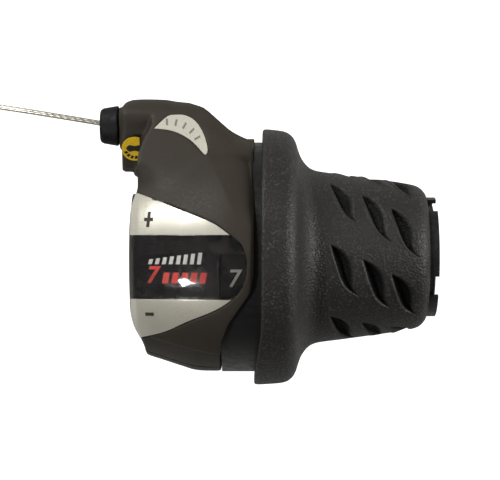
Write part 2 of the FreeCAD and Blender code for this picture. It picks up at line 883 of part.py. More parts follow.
def make_free_wire(inside_length):
    """Bare wire beyond the adjuster, and the tied coil of the rest of it."""
    edges = route_edges(FREE_ROUTE)
    tube = doc.addObject("Part::Feature", "free_wire")
    tube.Shape = swept_disc(edges, DIMENSIONS["wire_radius"])
    length = sum(edge.Length for edge in edges)
    check_volume("free wire", tube.Shape, DIMENSIONS["wire_radius"], length)
    keep(tube, "wire_tube")
    coiled = WIRE_LENGTH - inside_length - length
    turns = coiled / (2 * math.pi * COIL_RADIUS)
    print(f"coil: {coiled:.0f} mm in {turns:.2f} turns")

    end = FreeCAD.Vector(*FREE_ROUTE[-1])
    heading = (end - FreeCAD.Vector(*FREE_ROUTE[-2])).normalize()
    to_centre = FreeCAD.Vector(-heading.y, heading.x, 0)
    centre = end + to_centre * COIL_RADIUS
    print(f"coil centre {centre.x:.2f} {centre.y:.2f} {centre.z:.2f}")
    coil = doc.addObject("Part::Torus", "coil_ring")
    coil.Radius1 = COIL_RADIUS
    coil.Radius2 = COIL_BUNDLE
    coil.Placement = FreeCAD.Placement(centre, FreeCAD.Rotation())
    keep(coil, "wire_coil")
    tie_outer = cylinder(
        "tie_outer", COIL_BUNDLE + 0.7, (centre.x - 1.5, centre.y - COIL_RADIUS, centre.z), 3.0
    )
    tie_inner = doc.addObject("Part::Torus", "tie_inner")
    tie_inner.Radius1 = COIL_RADIUS
    tie_inner.Radius2 = COIL_BUNDLE + 0.02
    tie_inner.Placement = coil.Placement
    keep(cut("tie_cut", tie_outer, tie_inner), "coil_tie")


def make_adjuster():
    """Threaded insert, barrel with its knob, and the seat inside it."""
    y, z = D["outlet_y"], D["outlet_z"]
    insert = ring("insert_ring", 2.5, 3.6, D["outlet_face"] + 0.05, 5.0, y, z)
    keep(insert, "adjuster_insert")
    barrel = turned(
        "barrel_turned",
        [
            (D["knob_start"], 2.6),
            (D["knob_start"], 3.3),
            (D["knob_start"] + 0.25, 3.75),
            (D["knob_start"] + 0.8, 4.05),
            (D["outlet_face"] - 0.5, D["knob_radius"]),
            (D["outlet_face"] - 0.2, D["knob_radius"] - 0.2),
            (D["outlet_face"] - 0.2, 2.44),
            (3.2, 2.44),
            (3.2, 1.1),
            (-3.5, 1.1),
            (-3.5, 2.6),
        ],
    )
    barrel.Placement = FreeCAD.Placement(
        FreeCAD.Vector(0, number(y), number(z)), FreeCAD.Rotation()
    )
    keep(barrel, "adjuster_barrel")
    keep(ring("seat_ring", 1.35, 2.5, -4.5, -3.55, y, z), "casing_seat")


# ---------------------------------------------------------------- drum and its detent


def make_drum():
    """Winding drum with the click notches, the stop lug and the drive dogs."""
    bore = D["sleeve_radius"] + D["running_gap"]
    groove = D["wind_radius"] - D["wire_radius"] - 0.03
    half_groove = D["wire_radius"] + 0.2
    ring_start, ring_end = 19.4, 22.6
    over_core = D["core_radius"] + 0.05
    body = turned(
        "drum_turned",
        [
            (13.7, bore),
            (13.7, D["drum_flange"]),
            (D["wire_plane"] - half_groove, D["drum_flange"]),
            (D["wire_plane"] - half_groove, groove),
            (D["wire_plane"] + half_groove, groove),
            (D["wire_plane"] + half_groove, D["drum_flange"]),
            (ring_start, D["drum_flange"]),
            (ring_start, D["ratchet_radius"]),
            (ring_end, D["ratchet_radius"]),
            (ring_end, 16.8),
            (30.9, 16.8),
            (30.9, over_core),
            (22.95, over_core),
            (22.95, bore),
        ],
    )
    lug = sector("stop_lug", 16.0, 22.3, 17.85, 19.5, lug_at_rest, STOP_LUG_HALF_ANGLE)
    dogs = [sector(f"dog_{i}", 14.4, 16.7, 30.5, 32.2, 120 * i, 9) for i in range(3)]
    notches = []
    for click in range(CLICKS + 1):
        y, z = at_angle(DIMENSIONS["ratchet_radius"] + 0.5, DETENT_ANGLE - CLICK_ANGLE * click)
        notches.append(
            cylinder(f"notch_{click}", D["notch_radius"], (ring_start - 0.5, y, z), 4.5)
        )
    y, z = at_angle(DIMENSIONS["wind_radius"] + 0.8, NIPPLE_ANGLE)
    pocket = cylinder("nipple_pocket", NIPPLE_RADIUS + 0.05, (15.1, y, z), 3.8)
    keep(cut("drum_cut", fuse("drum_whole", body, lug, *dogs), pocket, *notches), "cable_drum")
    keep(cylinder("nipple", NIPPLE_RADIUS, (15.2, y, z), 3.6), "wire_nipple")


def make_detent_spring():
    """Bowed leaf between two posts whose round nose drops into the notches."""
    first = SPRING_POST_ANGLES[0] + POST_HALF_ANGLE
    last = SPRING_POST_ANGLES[1] - POST_HALF_ANGLE
    leaf = sector("leaf", 21.9, 22.4, 19.8, 21.9, DETENT_ANGLE, (last - first) / 2)
    y, z = at_angle(20.95, DETENT_ANGLE)
    nose = cylinder("leaf_nose", 1.2, (19.8, y, z), 2.1)
    keep(fuse("detent", leaf, nose), "detent_spring")


# ---------------------------------------------------------------- grip

TAB_CENTRE_ANGLE = 74.5
TAB_HALF_ANGLE = 34.0
GROOVE_ROWS = 7
GROOVE_COLUMNS = 3


def core_outline():
    """Outside of the plastic core from the flange to the outboard end."""
    return [
        (33.6, D["skirt_radius"]),
        (35.4, 25.6),
        (36.6, 23.6),
        (38.6, 20.2),
        (41.2, 17.6),
        (45.0, 17.2),
        (58.0, 15.4),
        (65.6, D["core_radius"]),
    ]


def make_core():
    """Tube that turns on the sleeve, with the skirt, web and end tabs."""
    bore = D["sleeve_radius"] + 0.08
    skirt_inner = D["skirt_radius"] - D["skirt_wall"]
    web_start = 31.0
    body = turned(
        "core_turned",
        [
            (23.0, bore),
            (23.0, D["core_radius"]),
            (web_start, D["core_radius"]),
            (web_start, skirt_inner),
            (D["skirt_start"], skirt_inner),
            (D["skirt_start"], D["skirt_radius"]),
        ]
        + core_outline()
        + [(D["core_end"], D["core_radius"]), (D["core_end"], bore)],
    )
    tabs = [
        sector(
            f"tab_{i}",
            12.95,
            D["core_radius"],
            D["core_end"] - 0.5,
            D["tab_end"],
            TAB_CENTRE_ANGLE + 90 * i,
            TAB_HALF_ANGLE,
        )
        for i in range(4)
    ]
    pockets = [
        sector(f"dog_pocket_{i}", 14.3, 16.8, web_start - 0.5, 32.3, 120 * i, 9.3) for i in range(3)
    ]
    keep(cut("core_cut", fuse("core_whole", body, *tabs), *pockets), "grip_core")


def grip_groove(row, column):
    """One flame-shaped recess; each column starts a little further round."""
    angle = UP_ANGLE + 10.3 + 11.0 * column + row * 360.0 / GROOVE_ROWS
    middle_x = 49.2 + 7.0 * column
    radius = 19.8 - 0.95 * column
    y, z = at_angle(radius + 0.9, angle)
    recess = doc.addObject("Part::Ellipsoid", f"groove_{row}_{column}")
    recess.Radius1 = 2.0
    recess.Radius2 = 2.9
    recess.Radius3 = 6.4
    spin = FreeCAD.Rotation(FreeCAD.Vector(1, 0, 0), angle)
    lean = FreeCAD.Rotation(FreeCAD.Vector(0, 1, 0), -12)
    recess.Placement = FreeCAD.Placement(
        FreeCAD.Vector(middle_x, y, z), spin.multiply(GROOVE_TURN).multiply(lean)
    )
    return recess


# The recess is thin along the radius (local Z), wide along the bar and long round it.
GROOVE_TURN = FreeCAD.Rotation(
    FreeCAD.Vector(1, 0, 0), FreeCAD.Vector(0, 0, 1), FreeCAD.Vector(0, 1, 0), "XYZ"
)


def make_rubber():
    """Soft grip with its flange and rows of recesses."""
    inner = [(x, r + D["rubber_gap"]) for x, r in reversed(core_outline())]
    body = turned(
        "rubber_turned",
        [
            (D["flange_start"], D["skirt_radius"] + D["rubber_gap"]),
            (D["flange_start"], D["flange_radius"] - 0.9),
            (D["flange_start"] + 0.8, D["flange_radius"] - 0.1),
            (D["flange_start"] + 1.6, D["flange_radius"]),
            (D["flange_end"] - 1.9, D["flange_radius"]),
            (D["flange_end"] - 0.7, D["flange_radius"] - 0.6),
            (D["flange_end"], 27.5),
            (D["flange_end"], 25.5),
            (39.5, 22.5),
            (42.1, 19.9),
            (45.8, 19.5),
            (52.8, 18.5),
            (58.6, 17.7),
            (65.0, 16.7),
            (66.7, 15.6),
            (D["grip_end"], 14.3),
            (D["grip_end"], D["core_radius"] + D["rubber_gap"]),
        ]
        + inner,
    )
    recesses = [
        grip_groove(row, column) for row in range(GROOVE_ROWS) for column in range(GROOVE_COLUMNS)
    ]
    keep(cut("rubber_cut", body, *recesses), "rubber_grip")


def make_number_band():
    """Thin printed band on the skirt that carries the gear numbers."""
    last = WINDOW_NUMBER_ANGLE + 9
    first = WINDOW_NUMBER_ANGLE - CLICK_ANGLE * CLICKS - 9
    band = sector(
        "band",
        D["skirt_radius"],
        D["skirt_radius"] + 0.1,
        D["skirt_start"] + 0.3,
        D["skirt_start"] + 5.4,
        (first + last) / 2,
        (last - first) / 2,
    )
    keep(band, "number_band")


def make_end_hardware():
    """Washers, and the clip that keeps the grip on its sleeve."""
    keep(
        ring(
            "thrust",
            D["sleeve_radius"] + 0.05,
            18.0,
            D["bulkhead_end"] + 0.05,
            D["bulkhead_end"] + 0.6,
        ),
        "thrust_washer",
    )
    keep(
        ring(
            "end_ring",
            D["sleeve_radius"] + 0.03,
            12.9,
            D["core_end"] + 0.08,
            D["core_end"] + 0.5,
        ),
        "end_washer",
    )
    clip = ring(
        "clip_ring",
        D["sleeve_radius"] - 0.55,
        12.85,
        D["core_end"] + 0.65,
        D["core_end"] + 1.35,
    )
    gap = cylinder("clip_gap", 14, (D["core_end"], 0, 0), 2, start=75, sweep=30)
    keep(cut("clip_cut", clip, gap), "end_clip")


# ---------------------------------------------------------------- build, check, write


def check_document():
    """Stop if any object failed or any sub-part has a bad shape."""
    doc.recompute()
    for obj in doc.Objects:
        if "Invalid" in obj.State or "Error" in obj.State:
            raise RuntimeError(f"{obj.Name} failed: {obj.State}")
    for label, obj in nodes.items():
        shape = obj.Shape
        if shape.isNull() or not shape.isValid() or not shape.Solids:
            raise RuntimeError(f"{label} has a bad shape")
        print(f"{label}: {len(shape.Solids)} solid, {shape.Volume:.1f} mm3")


def write_parts():
    os.makedirs(PARTS_FOLDER, exist_ok=True)
    for label, obj in nodes.items():
        obj.Shape.exportStep(os.path.join(PARTS_FOLDER, label + ".step"))


make_bracket()
make_clamp_hardware()
make_housing()
make_port_cap()
make_housing_screws()
make_window()
make_sticker()
make_guide()
make_free_wire(make_inner_wire())
make_adjuster()
make_drum()
make_detent_spring()
make_core()
make_rubber()
make_number_band()
make_end_hardware()
check_document()
write_parts()
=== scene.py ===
"""Looks of a twist-grip gear shifter.

Lengths in the tables are millimetres in the object's own frame, and MM makes them metres.
+X runs along the handlebar, +Y forward and +Z up through the window. Angles turn from
+Y towards +Z.
"""

import math

import bmesh
import bpy
from bpy.props import FloatProperty, FloatVectorProperty, IntProperty, PointerProperty
from mathutils import Matrix, Vector


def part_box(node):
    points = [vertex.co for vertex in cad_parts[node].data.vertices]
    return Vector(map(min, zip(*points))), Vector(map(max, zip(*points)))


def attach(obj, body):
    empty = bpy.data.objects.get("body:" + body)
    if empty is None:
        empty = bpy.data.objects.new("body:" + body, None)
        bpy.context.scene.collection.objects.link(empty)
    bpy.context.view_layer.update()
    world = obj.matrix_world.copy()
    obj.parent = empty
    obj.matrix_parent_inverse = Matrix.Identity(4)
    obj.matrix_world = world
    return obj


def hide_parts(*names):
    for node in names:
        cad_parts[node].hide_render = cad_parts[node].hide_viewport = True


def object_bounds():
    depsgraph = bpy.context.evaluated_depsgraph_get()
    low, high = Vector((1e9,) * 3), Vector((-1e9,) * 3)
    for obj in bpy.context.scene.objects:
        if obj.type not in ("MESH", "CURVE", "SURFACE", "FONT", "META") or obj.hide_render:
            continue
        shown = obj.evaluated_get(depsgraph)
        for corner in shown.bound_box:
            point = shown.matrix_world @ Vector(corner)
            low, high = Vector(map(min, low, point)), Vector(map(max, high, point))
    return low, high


bl_info = {
    "name": "Twist Grip Shifter",
    "version": (1, 0, 0),
    "blender": (4, 5, 0),
    "location": "View3D > Sidebar > Shifter",
    "description": "Builds the looks of a twist-grip gear shifter round its packed frame",
    "category": "Object",
}

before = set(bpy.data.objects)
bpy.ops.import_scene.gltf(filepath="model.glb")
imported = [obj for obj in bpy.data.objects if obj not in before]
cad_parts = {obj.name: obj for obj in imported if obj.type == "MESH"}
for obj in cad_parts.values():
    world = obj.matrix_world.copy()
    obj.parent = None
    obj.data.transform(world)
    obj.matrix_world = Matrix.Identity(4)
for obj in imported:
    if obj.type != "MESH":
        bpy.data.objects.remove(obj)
CAD_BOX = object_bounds()
MM = 0.001
UP = 90.0
SHARP_ANGLE = math.radians(40)
RIM_ANGLE = math.radians(50)
CAP_SHARE_OF_SIZE = 0.7

# ---------------------------------------------------------------- shapes shared by several pieces

# Outer radius of each half of the housing along the bar, as (position, radius).
FRONT_PROFILE = [
    (0.5, 20.0), (1.5, 21.8), (3.3, 22.9), (6.6, 24.3), (11.2, 26.1),
    (15.0, 27.3), (18.5, 28.2), (22.5, 28.8), (26.0, 28.5), (28.0, 27.6),
]

LOWER_PROFILE = [
    (0.5, 20.0), (1.5, 21.6), (3.3, 22.6), (6.6, 23.7), (11.2, 25.2),
    (14.7, 26.2), (20.4, 26.4),
]

# Edges of the leaf-shaped window, as (along the bar, forward), and the black band in it.
LEAF_TOP = [
    (1.2, 14.7), (6.0, 13.0), (11.0, 10.9), (15.5, 9.1), (19.3, 7.4),
    (22.4, 5.2), (24.6, 3.3), (25.8, 1.2), (26.3, -1.4),
]
LEAF_BOTTOM = [
    (1.2, -18.4), (7.9, -16.6), (13.6, -14.0), (19.3, -11.6), (22.5, -9.6),
    (24.4, -7.9), (25.7, -5.2), (26.3, -1.4),
]
BAND_TOP = 5.0
BAND_BOTTOM = -9.2
PANEL_GAP = 0.1

# Window pieces: ends along the bar, depths below the smooth surface, places of the marks.
PANEL_START = 0.35
UPPER_PANEL_END = 22.55
LOWER_PANEL_END = 22.85
LENS_END = 26.2
LABEL_START = 0.45
LABEL_END = 20.3
MASK_END = 25.4
MASK_BOTTOM = 0.7
PANEL_DROP = 0.05
LENS_DROP = 0.03
LABEL_DROP = 1.05
PRINT_ON_LABEL = -0.98
PRINT_ON_PANEL = 0.02
PLUS_AT = (4.6, 8.45)
MINUS_AT = (4.7, -12.55)
SEVEN_AT = (5.4, -3.9)
CORNER_ROUNDING = 0.08
EDGE_LIFT = 0.18

# Printed gear numbers round the grip's skirt.
NUMBER_ANGLE = 100.1
CLICK_ANGLE = 18.0
GEARS = 7
NUMBER_X = 23.45
NUMBER_RADIUS = 26.66

# Route of the free wire, the same points as its solid.
FREE_ROUTE = [
    (-3.55, 30.0, 6.0), (-36.0, 35.6, 5.6), (-64.0, 39.0, -12.0),
    (-84.0, 36.6, -25.5), (-98.0, 33.9, -25.5),
]
COIL_RADIUS = 11.9


def cubic(points, x):
    """Smooth curve through (position, value) points."""
    if x <= points[0][0]:
        return points[0][1]
    if x >= points[-1][0]:
        return points[-1][1]
    last = len(points) - 1
    i = max(k for k in range(last) if points[k][0] <= x)
    x0, y0 = points[i]
    x1, y1 = points[i + 1]
    before = points[max(i - 1, 0)]
    after = points[min(i + 2, last)]
    slope0 = (y1 - before[1]) / (x1 - before[0])
    slope1 = (after[1] - y0) / (after[0] - x0)
    span = x1 - x0
    u = (x - x0) / span
    return (
        (2 * u**3 - 3 * u**2 + 1) * y0
        + (u**3 - 2 * u**2 + u) * span * slope0
        + (3 * u**2 - 2 * u**3) * y1
        + (u**3 - u**2) * span * slope1
    )


def straight(points, x):
    """Value of the straight-sided outline through the same points."""
    for (x0, y0), (x1, y1) in zip(points, points[1:]):
        if x0 <= x <= x1:
            return y0 + (y1 - y0) * (x - x0) / (x1 - x0)
    return None


def smoothstep(low, high, x):
    u = min(1.0, max(0.0, (x - low) / (high - low)))
    return u * u * (3 - 2 * u)


def on_bar(x, radius, angle):
    """Point at a place along the bar, a radius and an angle."""
    turn = math.radians(angle)
    return Vector((x, radius * math.cos(turn), radius * math.sin(turn))) * MM


def on_front(x, y, lift=0.0):
    """Point of the upper housing's smooth surface above (x, y)."""
    radius = cubic(FRONT_PROFILE, x) + lift
    return Vector((x, y, math.sqrt(max(radius * radius - y * y, 1.0)))) * MM


# ---------------------------------------------------------------- meshes


def new_object(name, data, body=None):
    obj = bpy.data.objects.new(name, data)
    bpy.context.scene.collection.objects.link(obj)
    if body:
        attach(obj, body)
    return obj


def finished(obj, material, body, slot, node=None):
    """Give a piece its material and body, and swap it for a CAD node if one is named. The slot is
    not used.
    """
    obj.data.materials.append(material)
    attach(obj, body)
    if node:
        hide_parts(node)
    return obj


def mesh_from(name, points, faces):
    mesh = bpy.data.meshes.new(name)
    mesh.from_pydata([tuple(p) for p in points], [], faces)
    mesh.update()
    mesh.shade_smooth()
    return mesh


def apply_modifiers(obj):
    """Replace an object's mesh by what its modifiers make of it."""
    graph = bpy.context.evaluated_depsgraph_get()
    made = bpy.data.meshes.new_from_object(obj.evaluated_get(graph))
    obj.modifiers.clear()
    obj.data = made
    return obj


def thicken(obj, thickness, rounding):
    """Give a surface a thickness below it, and round its rim."""
    solid = obj.modifiers.new("thickness", "SOLIDIFY")
    solid.thickness = thickness * MM
    solid.offset = -1
    rim = obj.modifiers.new("rim", "BEVEL")
    rim.width = rounding * MM
    rim.segments = 2
    rim.limit_method = "ANGLE"
    rim.angle_limit = RIM_ANGLE
    return apply_modifiers(obj)


def grid(name, rows, closed_across=False, closed_along=False):
    """Mesh of a grid of points, each row as long as the next."""
    height = len(rows)
    width = len(rows[0])
    points = [p for row in rows for p in row]
    faces = []
    for j in range(height if closed_along else height - 1):
        k = (j + 1) % height
        for i in range(width if closed_across else width - 1):
            n = (i + 1) % width
            faces.append((j * width + i, j * width + n, k * width + n, k * width + i))
    return mesh_from(name, points, faces)


def outward(mesh):
    """Turn every face outwards."""
    work = bmesh.new()
    work.from_mesh(mesh)
    bmesh.ops.recalc_face_normals(work, faces=work.faces)
    work.to_mesh(mesh)
    work.free()
    mesh.shade_smooth()
    return mesh


def flat_shape(outline, levels=10):
    """Filled outline, sliced finely so that it can be laid on a curved surface."""
    work = bmesh.new()
    work.faces.new([work.verts.new((x, y, 0)) for x, y in outline])
    slice_mesh(work, levels)
    return work


def slice_mesh(work, levels):
    for axis in (0, 1):
        low = min(v.co[axis] for v in work.verts)
        high = max(v.co[axis] for v in work.verts)
        normal = Vector((axis == 0, axis == 1, 0))
        for i in range(1, levels):
            centre = normal * (low + (high - low) * i / levels)
            geometry = work.verts[:] + work.edges[:] + work.faces[:]
            bmesh.ops.bisect_plane(work, geom=geometry, plane_co=centre, plane_no=normal)


def laid(name, work, place, thickness, body, slot, material):
    """Lay a flat shape on a surface, given by a function of its two coordinates."""
    for vertex in work.verts:
        vertex.co = place(vertex.co.x, vertex.co.y)
    mesh = bpy.data.meshes.new(name)
    bmesh.ops.recalc_face_normals(work, faces=work.faces)
    total = sum((f.normal * f.calc_area() for f in work.faces), Vector())
    middle = sum((v.co for v in work.verts), Vector()) / len(work.verts)
    if total.dot(Vector((0, middle.y, middle.z))) < 0:
        bmesh.ops.reverse_faces(work, faces=work.faces[:])
    work.to_mesh(mesh)
    work.free()
    mesh.shade_smooth()
    obj = new_object(name, mesh)
    solid = obj.modifiers.new("thickness", "SOLIDIFY")
    solid.thickness = thickness * MM
    solid.offset = -1
    apply_modifiers(obj)
    obj.data.set_sharp_from_angle(angle=SHARP_ANGLE)
    return finished(obj, material, body, slot)


def letter(text, height, slant=0.0, weight=0.0):
    """Flat shape of one numeral, centred, in millimetres."""
    curve = bpy.data.curves.new("numeral_" + text, "FONT")
    curve.body = text
    curve.size = height / CAP_SHARE_OF_SIZE
    curve.shear = slant
    curve.offset = weight
    curve.align_x = "CENTER"
    curve.align_y = "CENTER"
    curve.resolution_u = 6
    holder = bpy.data.objects.new("numeral_holder", curve)
    bpy.context.scene.collection.objects.link(holder)
    graph = bpy.context.evaluated_depsgraph_get()
    mesh = bpy.data.meshes.new_from_object(holder.evaluated_get(graph))
    work = bmesh.new()
    work.from_mesh(mesh)
    bpy.data.objects.remove(holder)
    bpy.data.meshes.remove(mesh)
    slice_mesh(work, 8)
    return work


def follow_profile(mesh, profile):
    """Move the outside from the straight-sided outline to the smooth one."""
    for vertex in mesh.vertices:
        x, y, z = vertex.co / MM
        radius = math.hypot(y, z)
        edge = straight(profile, x)
        near = 1 - smoothstep(0.2, 0.6, abs(radius - edge)) if edge else 0.0
        if near:
            scale = (radius + near * (cubic(profile, x) - edge)) / radius
            vertex.co.y *= scale
            vertex.co.z *= scale


def moulded(name, node, voxel, passes, profile, body, slot, material):
    """Softened copy of a moulded CAD piece: even small faces and rounded edges."""
    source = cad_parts[node]
    obj = new_object(name, source.data.copy())
    obj.data.materials.clear()
    remesh = obj.modifiers.new("even", "REMESH")
    remesh.mode = "VOXEL"
    remesh.voxel_size = voxel * MM
    remesh.use_smooth_shade = True
    soften = obj.modifiers.new("soften", "SMOOTH")
    soften.factor = 0.5
    soften.iterations = passes
    apply_modifiers(obj)
    if profile:
        follow_profile(obj.data, profile)
    obj.data.shade_smooth()
    return finished(obj, material, body, slot, node)


# ---------------------------------------------------------------- finishes


class Finish:
    """A procedural material built up from its Principled shader."""

    def __init__(self, name, colour, roughness, metallic=0.0, specular=0.5):
        self.material = bpy.data.materials.new(name)
        self.material.use_nodes = True
        self.tree = self.material.node_tree
        self.shader = self.tree.nodes["Principled BSDF"]
        self.shader.inputs["Base Color"].default_value = (*colour, 1)
        self.shader.inputs["Roughness"].default_value = roughness
        self.shader.inputs["Metallic"].default_value = metallic
        self.shader.inputs["Specular IOR Level"].default_value = specular
        self.colour = colour
        self.place = self.add("ShaderNodeTexCoord").outputs["Object"]
        self.height = None

    def add(self, kind, **settings):
        node = self.tree.nodes.new(kind)
        for key, value in settings.items():
            setattr(node, key, value)
        return node

    def link(self, start, end):
        self.tree.links.new(start, end)

    def noise(self, size, detail=2.0, stretch=(1, 1, 1)):
        """Noise whose features are about size millimetres."""
        mapping = self.add("ShaderNodeMapping")
        mapping.inputs["Scale"].default_value = stretch
        self.link(self.place, mapping.inputs["Vector"])
        node = self.add("ShaderNodeTexNoise")
        node.inputs["Scale"].default_value = 1.0 / (size * MM)
        node.inputs["Detail"].default_value = detail
        self.link(mapping.outputs["Vector"], node.inputs["Vector"])
        return node.outputs["Fac"]

    def cells(self, size):
        node = self.add("ShaderNodeTexVoronoi")
        node.inputs["Scale"].default_value = 1.0 / (size * MM)
        self.link(self.place, node.inputs["Vector"])
        return node.outputs["Distance"]

    def ramp(self, source, low, high, start=0.3, end=0.7):
        """Change from one value to another as the source grows."""
        node = self.add("ShaderNodeMapRange")
        node.inputs["From Min"].default_value = start
        node.inputs["From Max"].default_value = end
        node.inputs["To Min"].default_value = low
        node.inputs["To Max"].default_value = high
        self.link(source, node.inputs["Value"])
        return node.outputs["Result"]

    def bump(self, source, depth, strength=1.0):
        """Raise the surface by up to depth millimetres."""
        node = self.add("ShaderNodeBump")
        node.inputs["Strength"].default_value = strength
        node.inputs["Distance"].default_value = depth * MM
        self.link(source, node.inputs["Height"])
        if self.height:
            self.link(self.height, node.inputs["Normal"])
        self.height = node.outputs["Normal"]
        self.link(self.height, self.shader.inputs["Normal"])

    def tint(self, source, other, start=0.3, end=0.7):
        """Blend the base colour towards another as the source grows."""
        node = self.add("ShaderNodeMix", data_type="RGBA")
        current = self.shader.inputs["Base Color"]
        if current.is_linked:
            self.link(current.links[0].from_socket, node.inputs["A"])
        else:
            node.inputs["A"].default_value = (*self.colour, 1)
        node.inputs["B"].default_value = (*other, 1)
        self.link(self.ramp(source, 0.0, 1.0, start, end), node.inputs["Factor"])
        self.link(node.outputs["Result"], current)

    def roughen(self, source, low, high, start=0.3, end=0.7):
        self.link(self.ramp(source, low, high, start, end), self.shader.inputs["Roughness"])

    def worn_edges(self, colour):
        """Painted highlight: lighter colour where the surface is sharply raised."""
        shape = self.add("ShaderNodeNewGeometry")
        self.tint(shape.outputs["Pointiness"], colour, 0.53, 0.62)


def housing_plastic(settings):
    """Spark-textured moulded plastic, dark warm grey."""
    finish = Finish("housing_plastic", settings.housing, 0.55, specular=0.27)
    finish.tint(finish.noise(9.0, 3), [c * 1.08 for c in settings.housing], 0.4, 0.7)
    finish.roughen(finish.noise(0.5, 3), 0.54, 0.66)
    finish.bump(finish.noise(0.22, 2), 0.02, 0.55)
    finish.bump(finish.cells(0.45), 0.012, 0.4)
    return finish.material


def grip_rubber(settings):
    """Black rubber with a fine sparkling grain, and painted shade that darkens and dulls its
    recesses.
    """
    finish = Finish("grip_rubber", settings.rubber, 0.62, specular=0.4)
    grain = finish.noise(0.55, 4)
    finish.tint(grain, [c * 7.0 for c in settings.rubber], 0.54, 0.74)
    finish.tint(finish.noise(12.0, 2), [c * 1.3 for c in settings.rubber], 0.45, 0.7)
    # Painted shade: each recess is darkened and made less shiny by its depth.
    recess_shade = finish.add("ShaderNodeAttribute", attribute_name="recess").outputs["Fac"]
    finish.tint(recess_shade, [c * 0.12 for c in settings.rubber], 0.0, 0.45)
    finish.link(
        finish.ramp(recess_shade, 0.4, 0.1, 0.0, 0.45), finish.shader.inputs["Specular IOR Level"]
    )
    finish.roughen(finish.noise(0.16, 2), 0.34, 0.74, 0.35, 0.6)
    finish.bump(grain, 0.22, 1.0)
    finish.bump(finish.cells(0.35), 0.05, 0.7)
    return finish.material


def smooth_black(settings, name="smooth_black", roughness=0.41, specular=0.3):
    """Plain moulded black of the core, the knob and the bracket, with a painted highlight on sharp
    edges.
    """
    finish = Finish(name, settings.core, roughness, specular=specular)
    finish.tint(finish.noise(6.0, 3), [c * 1.35 for c in settings.core], 0.4, 0.7)
    finish.roughen(finish.noise(1.2, 4), roughness - 0.11, roughness + 0.11)
    finish.bump(finish.noise(0.35, 2), 0.008, 0.4)
    # Painted highlight along the sharp edges, lighter than the black.
    finish.worn_edges([c * 2.0 for c in settings.core])
    return finish.material


def silver_print(settings, name="silver_print", shade=1.0):
    """Warm silver lacquer with a fine flake under a clear coat."""
    colour = [c * shade for c in settings.silver]
    finish = Finish(name, colour, 0.34, metallic=0.25, specular=0.5)
    finish.tint(finish.noise(0.12, 1), [min(1.0, c * 1.12) for c in colour], 0.45, 0.65)
    finish.tint(finish.noise(14.0, 2), [c * 0.93 for c in colour], 0.4, 0.75)
    finish.roughen(finish.noise(0.4, 3), 0.26, 0.4)
    finish.bump(finish.noise(0.1, 1), 0.003, 0.3)
    finish.shader.inputs["Coat Weight"].default_value = 0.6
    finish.shader.inputs["Coat Roughness"].default_value = 0.08
    return finish.material


def gloss_black(name="label_black", colour=(0.012, 0.010, 0.010)):
    """Gloss black print with faint dust and wiping marks."""
    finish = Finish(name, colour, 0.16, specular=0.5)
    finish.tint(finish.noise(5.0, 3), (0.035, 0.026, 0.024), 0.45, 0.75)
    finish.roughen(finish.noise(1.0, 5, (0.3, 1, 1)), 0.1, 0.26)
    finish.bump(finish.noise(0.6, 2), 0.002, 0.3)
    return finish.material


def clear_plastic():
    """Clear lens with light wiping marks."""
    finish = Finish("clear_plastic", (0.96, 0.97, 0.97), 0.05, specular=0.5)
    finish.shader.inputs["Transmission Weight"].default_value = 1.0
    finish.shader.inputs["IOR"].default_value = 1.3
    finish.roughen(finish.noise(1.6, 4, (0.25, 1, 1)), 0.03, 0.1, 0.4, 0.7)
    finish.bump(finish.noise(3.0, 1), 0.01, 0.15)
    return finish.material


def print_ink(name, colour, roughness=0.4):
    """Printed ink, slightly uneven."""
    finish = Finish(name, colour, roughness)
    finish.tint(finish.noise(0.25, 3), [c * 0.8 for c in colour], 0.5, 0.75)
    finish.roughen(finish.noise(0.5, 2), roughness - 0.08, roughness + 0.1)
    finish.bump(finish.noise(0.2, 1), 0.003, 0.3)
    return finish.material


def wire_steel(settings):
    """Bright twisted steel strands, as slanting ridges across the wire."""
    finish = Finish("wire_steel", settings.steel, 0.38, metallic=0.8)
    lay = finish.add("ShaderNodeTexWave", wave_type="BANDS", bands_direction="DIAGONAL")
    lay.inputs["Scale"].default_value = 420.0
    lay.inputs["Distortion"].default_value = 0.6
    finish.link(finish.place, lay.inputs["Vector"])
    finish.tint(lay.outputs["Fac"], [c * 0.7 for c in settings.steel], 0.55, 0.95)
    finish.roughen(finish.noise(0.5, 3), 0.22, 0.42)
    finish.bump(lay.outputs["Fac"], 0.04, 0.5)
    return finish.material


def turned_metal(name, colour, roughness):
    """Machined or stamped metal with fine scratches and a little dirt."""
    finish = Finish(name, colour, roughness, metallic=1.0)
    finish.tint(finish.noise(3.0, 4), [c * 0.6 for c in colour], 0.5, 0.8)
    finish.roughen(finish.noise(0.4, 4, (1, 0.1, 1)), roughness - 0.08, roughness + 0.16)
    finish.bump(finish.noise(0.25, 3, (1, 0.15, 1)), 0.006, 0.4)
    return finish.material


def slippery_plastic(name, colour):
    """Pale acetal of the drum, the liner and the washers."""
    finish = Finish(name, colour, 0.38)
    finish.tint(finish.noise(4.0, 3), [c * 0.86 for c in colour], 0.45, 0.75)
    finish.roughen(finish.noise(0.9, 3), 0.3, 0.46)
    finish.bump(finish.noise(0.5, 2), 0.008, 0.3)
    return finish.material


def dress(node, material):
    """Give a CAD node its finish."""
    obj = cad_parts[node]
    obj.data.materials.clear()
    obj.data.materials.append(material)


def material(name):
    return bpy.data.materials[name]


# ---------------------------------------------------------------- settings


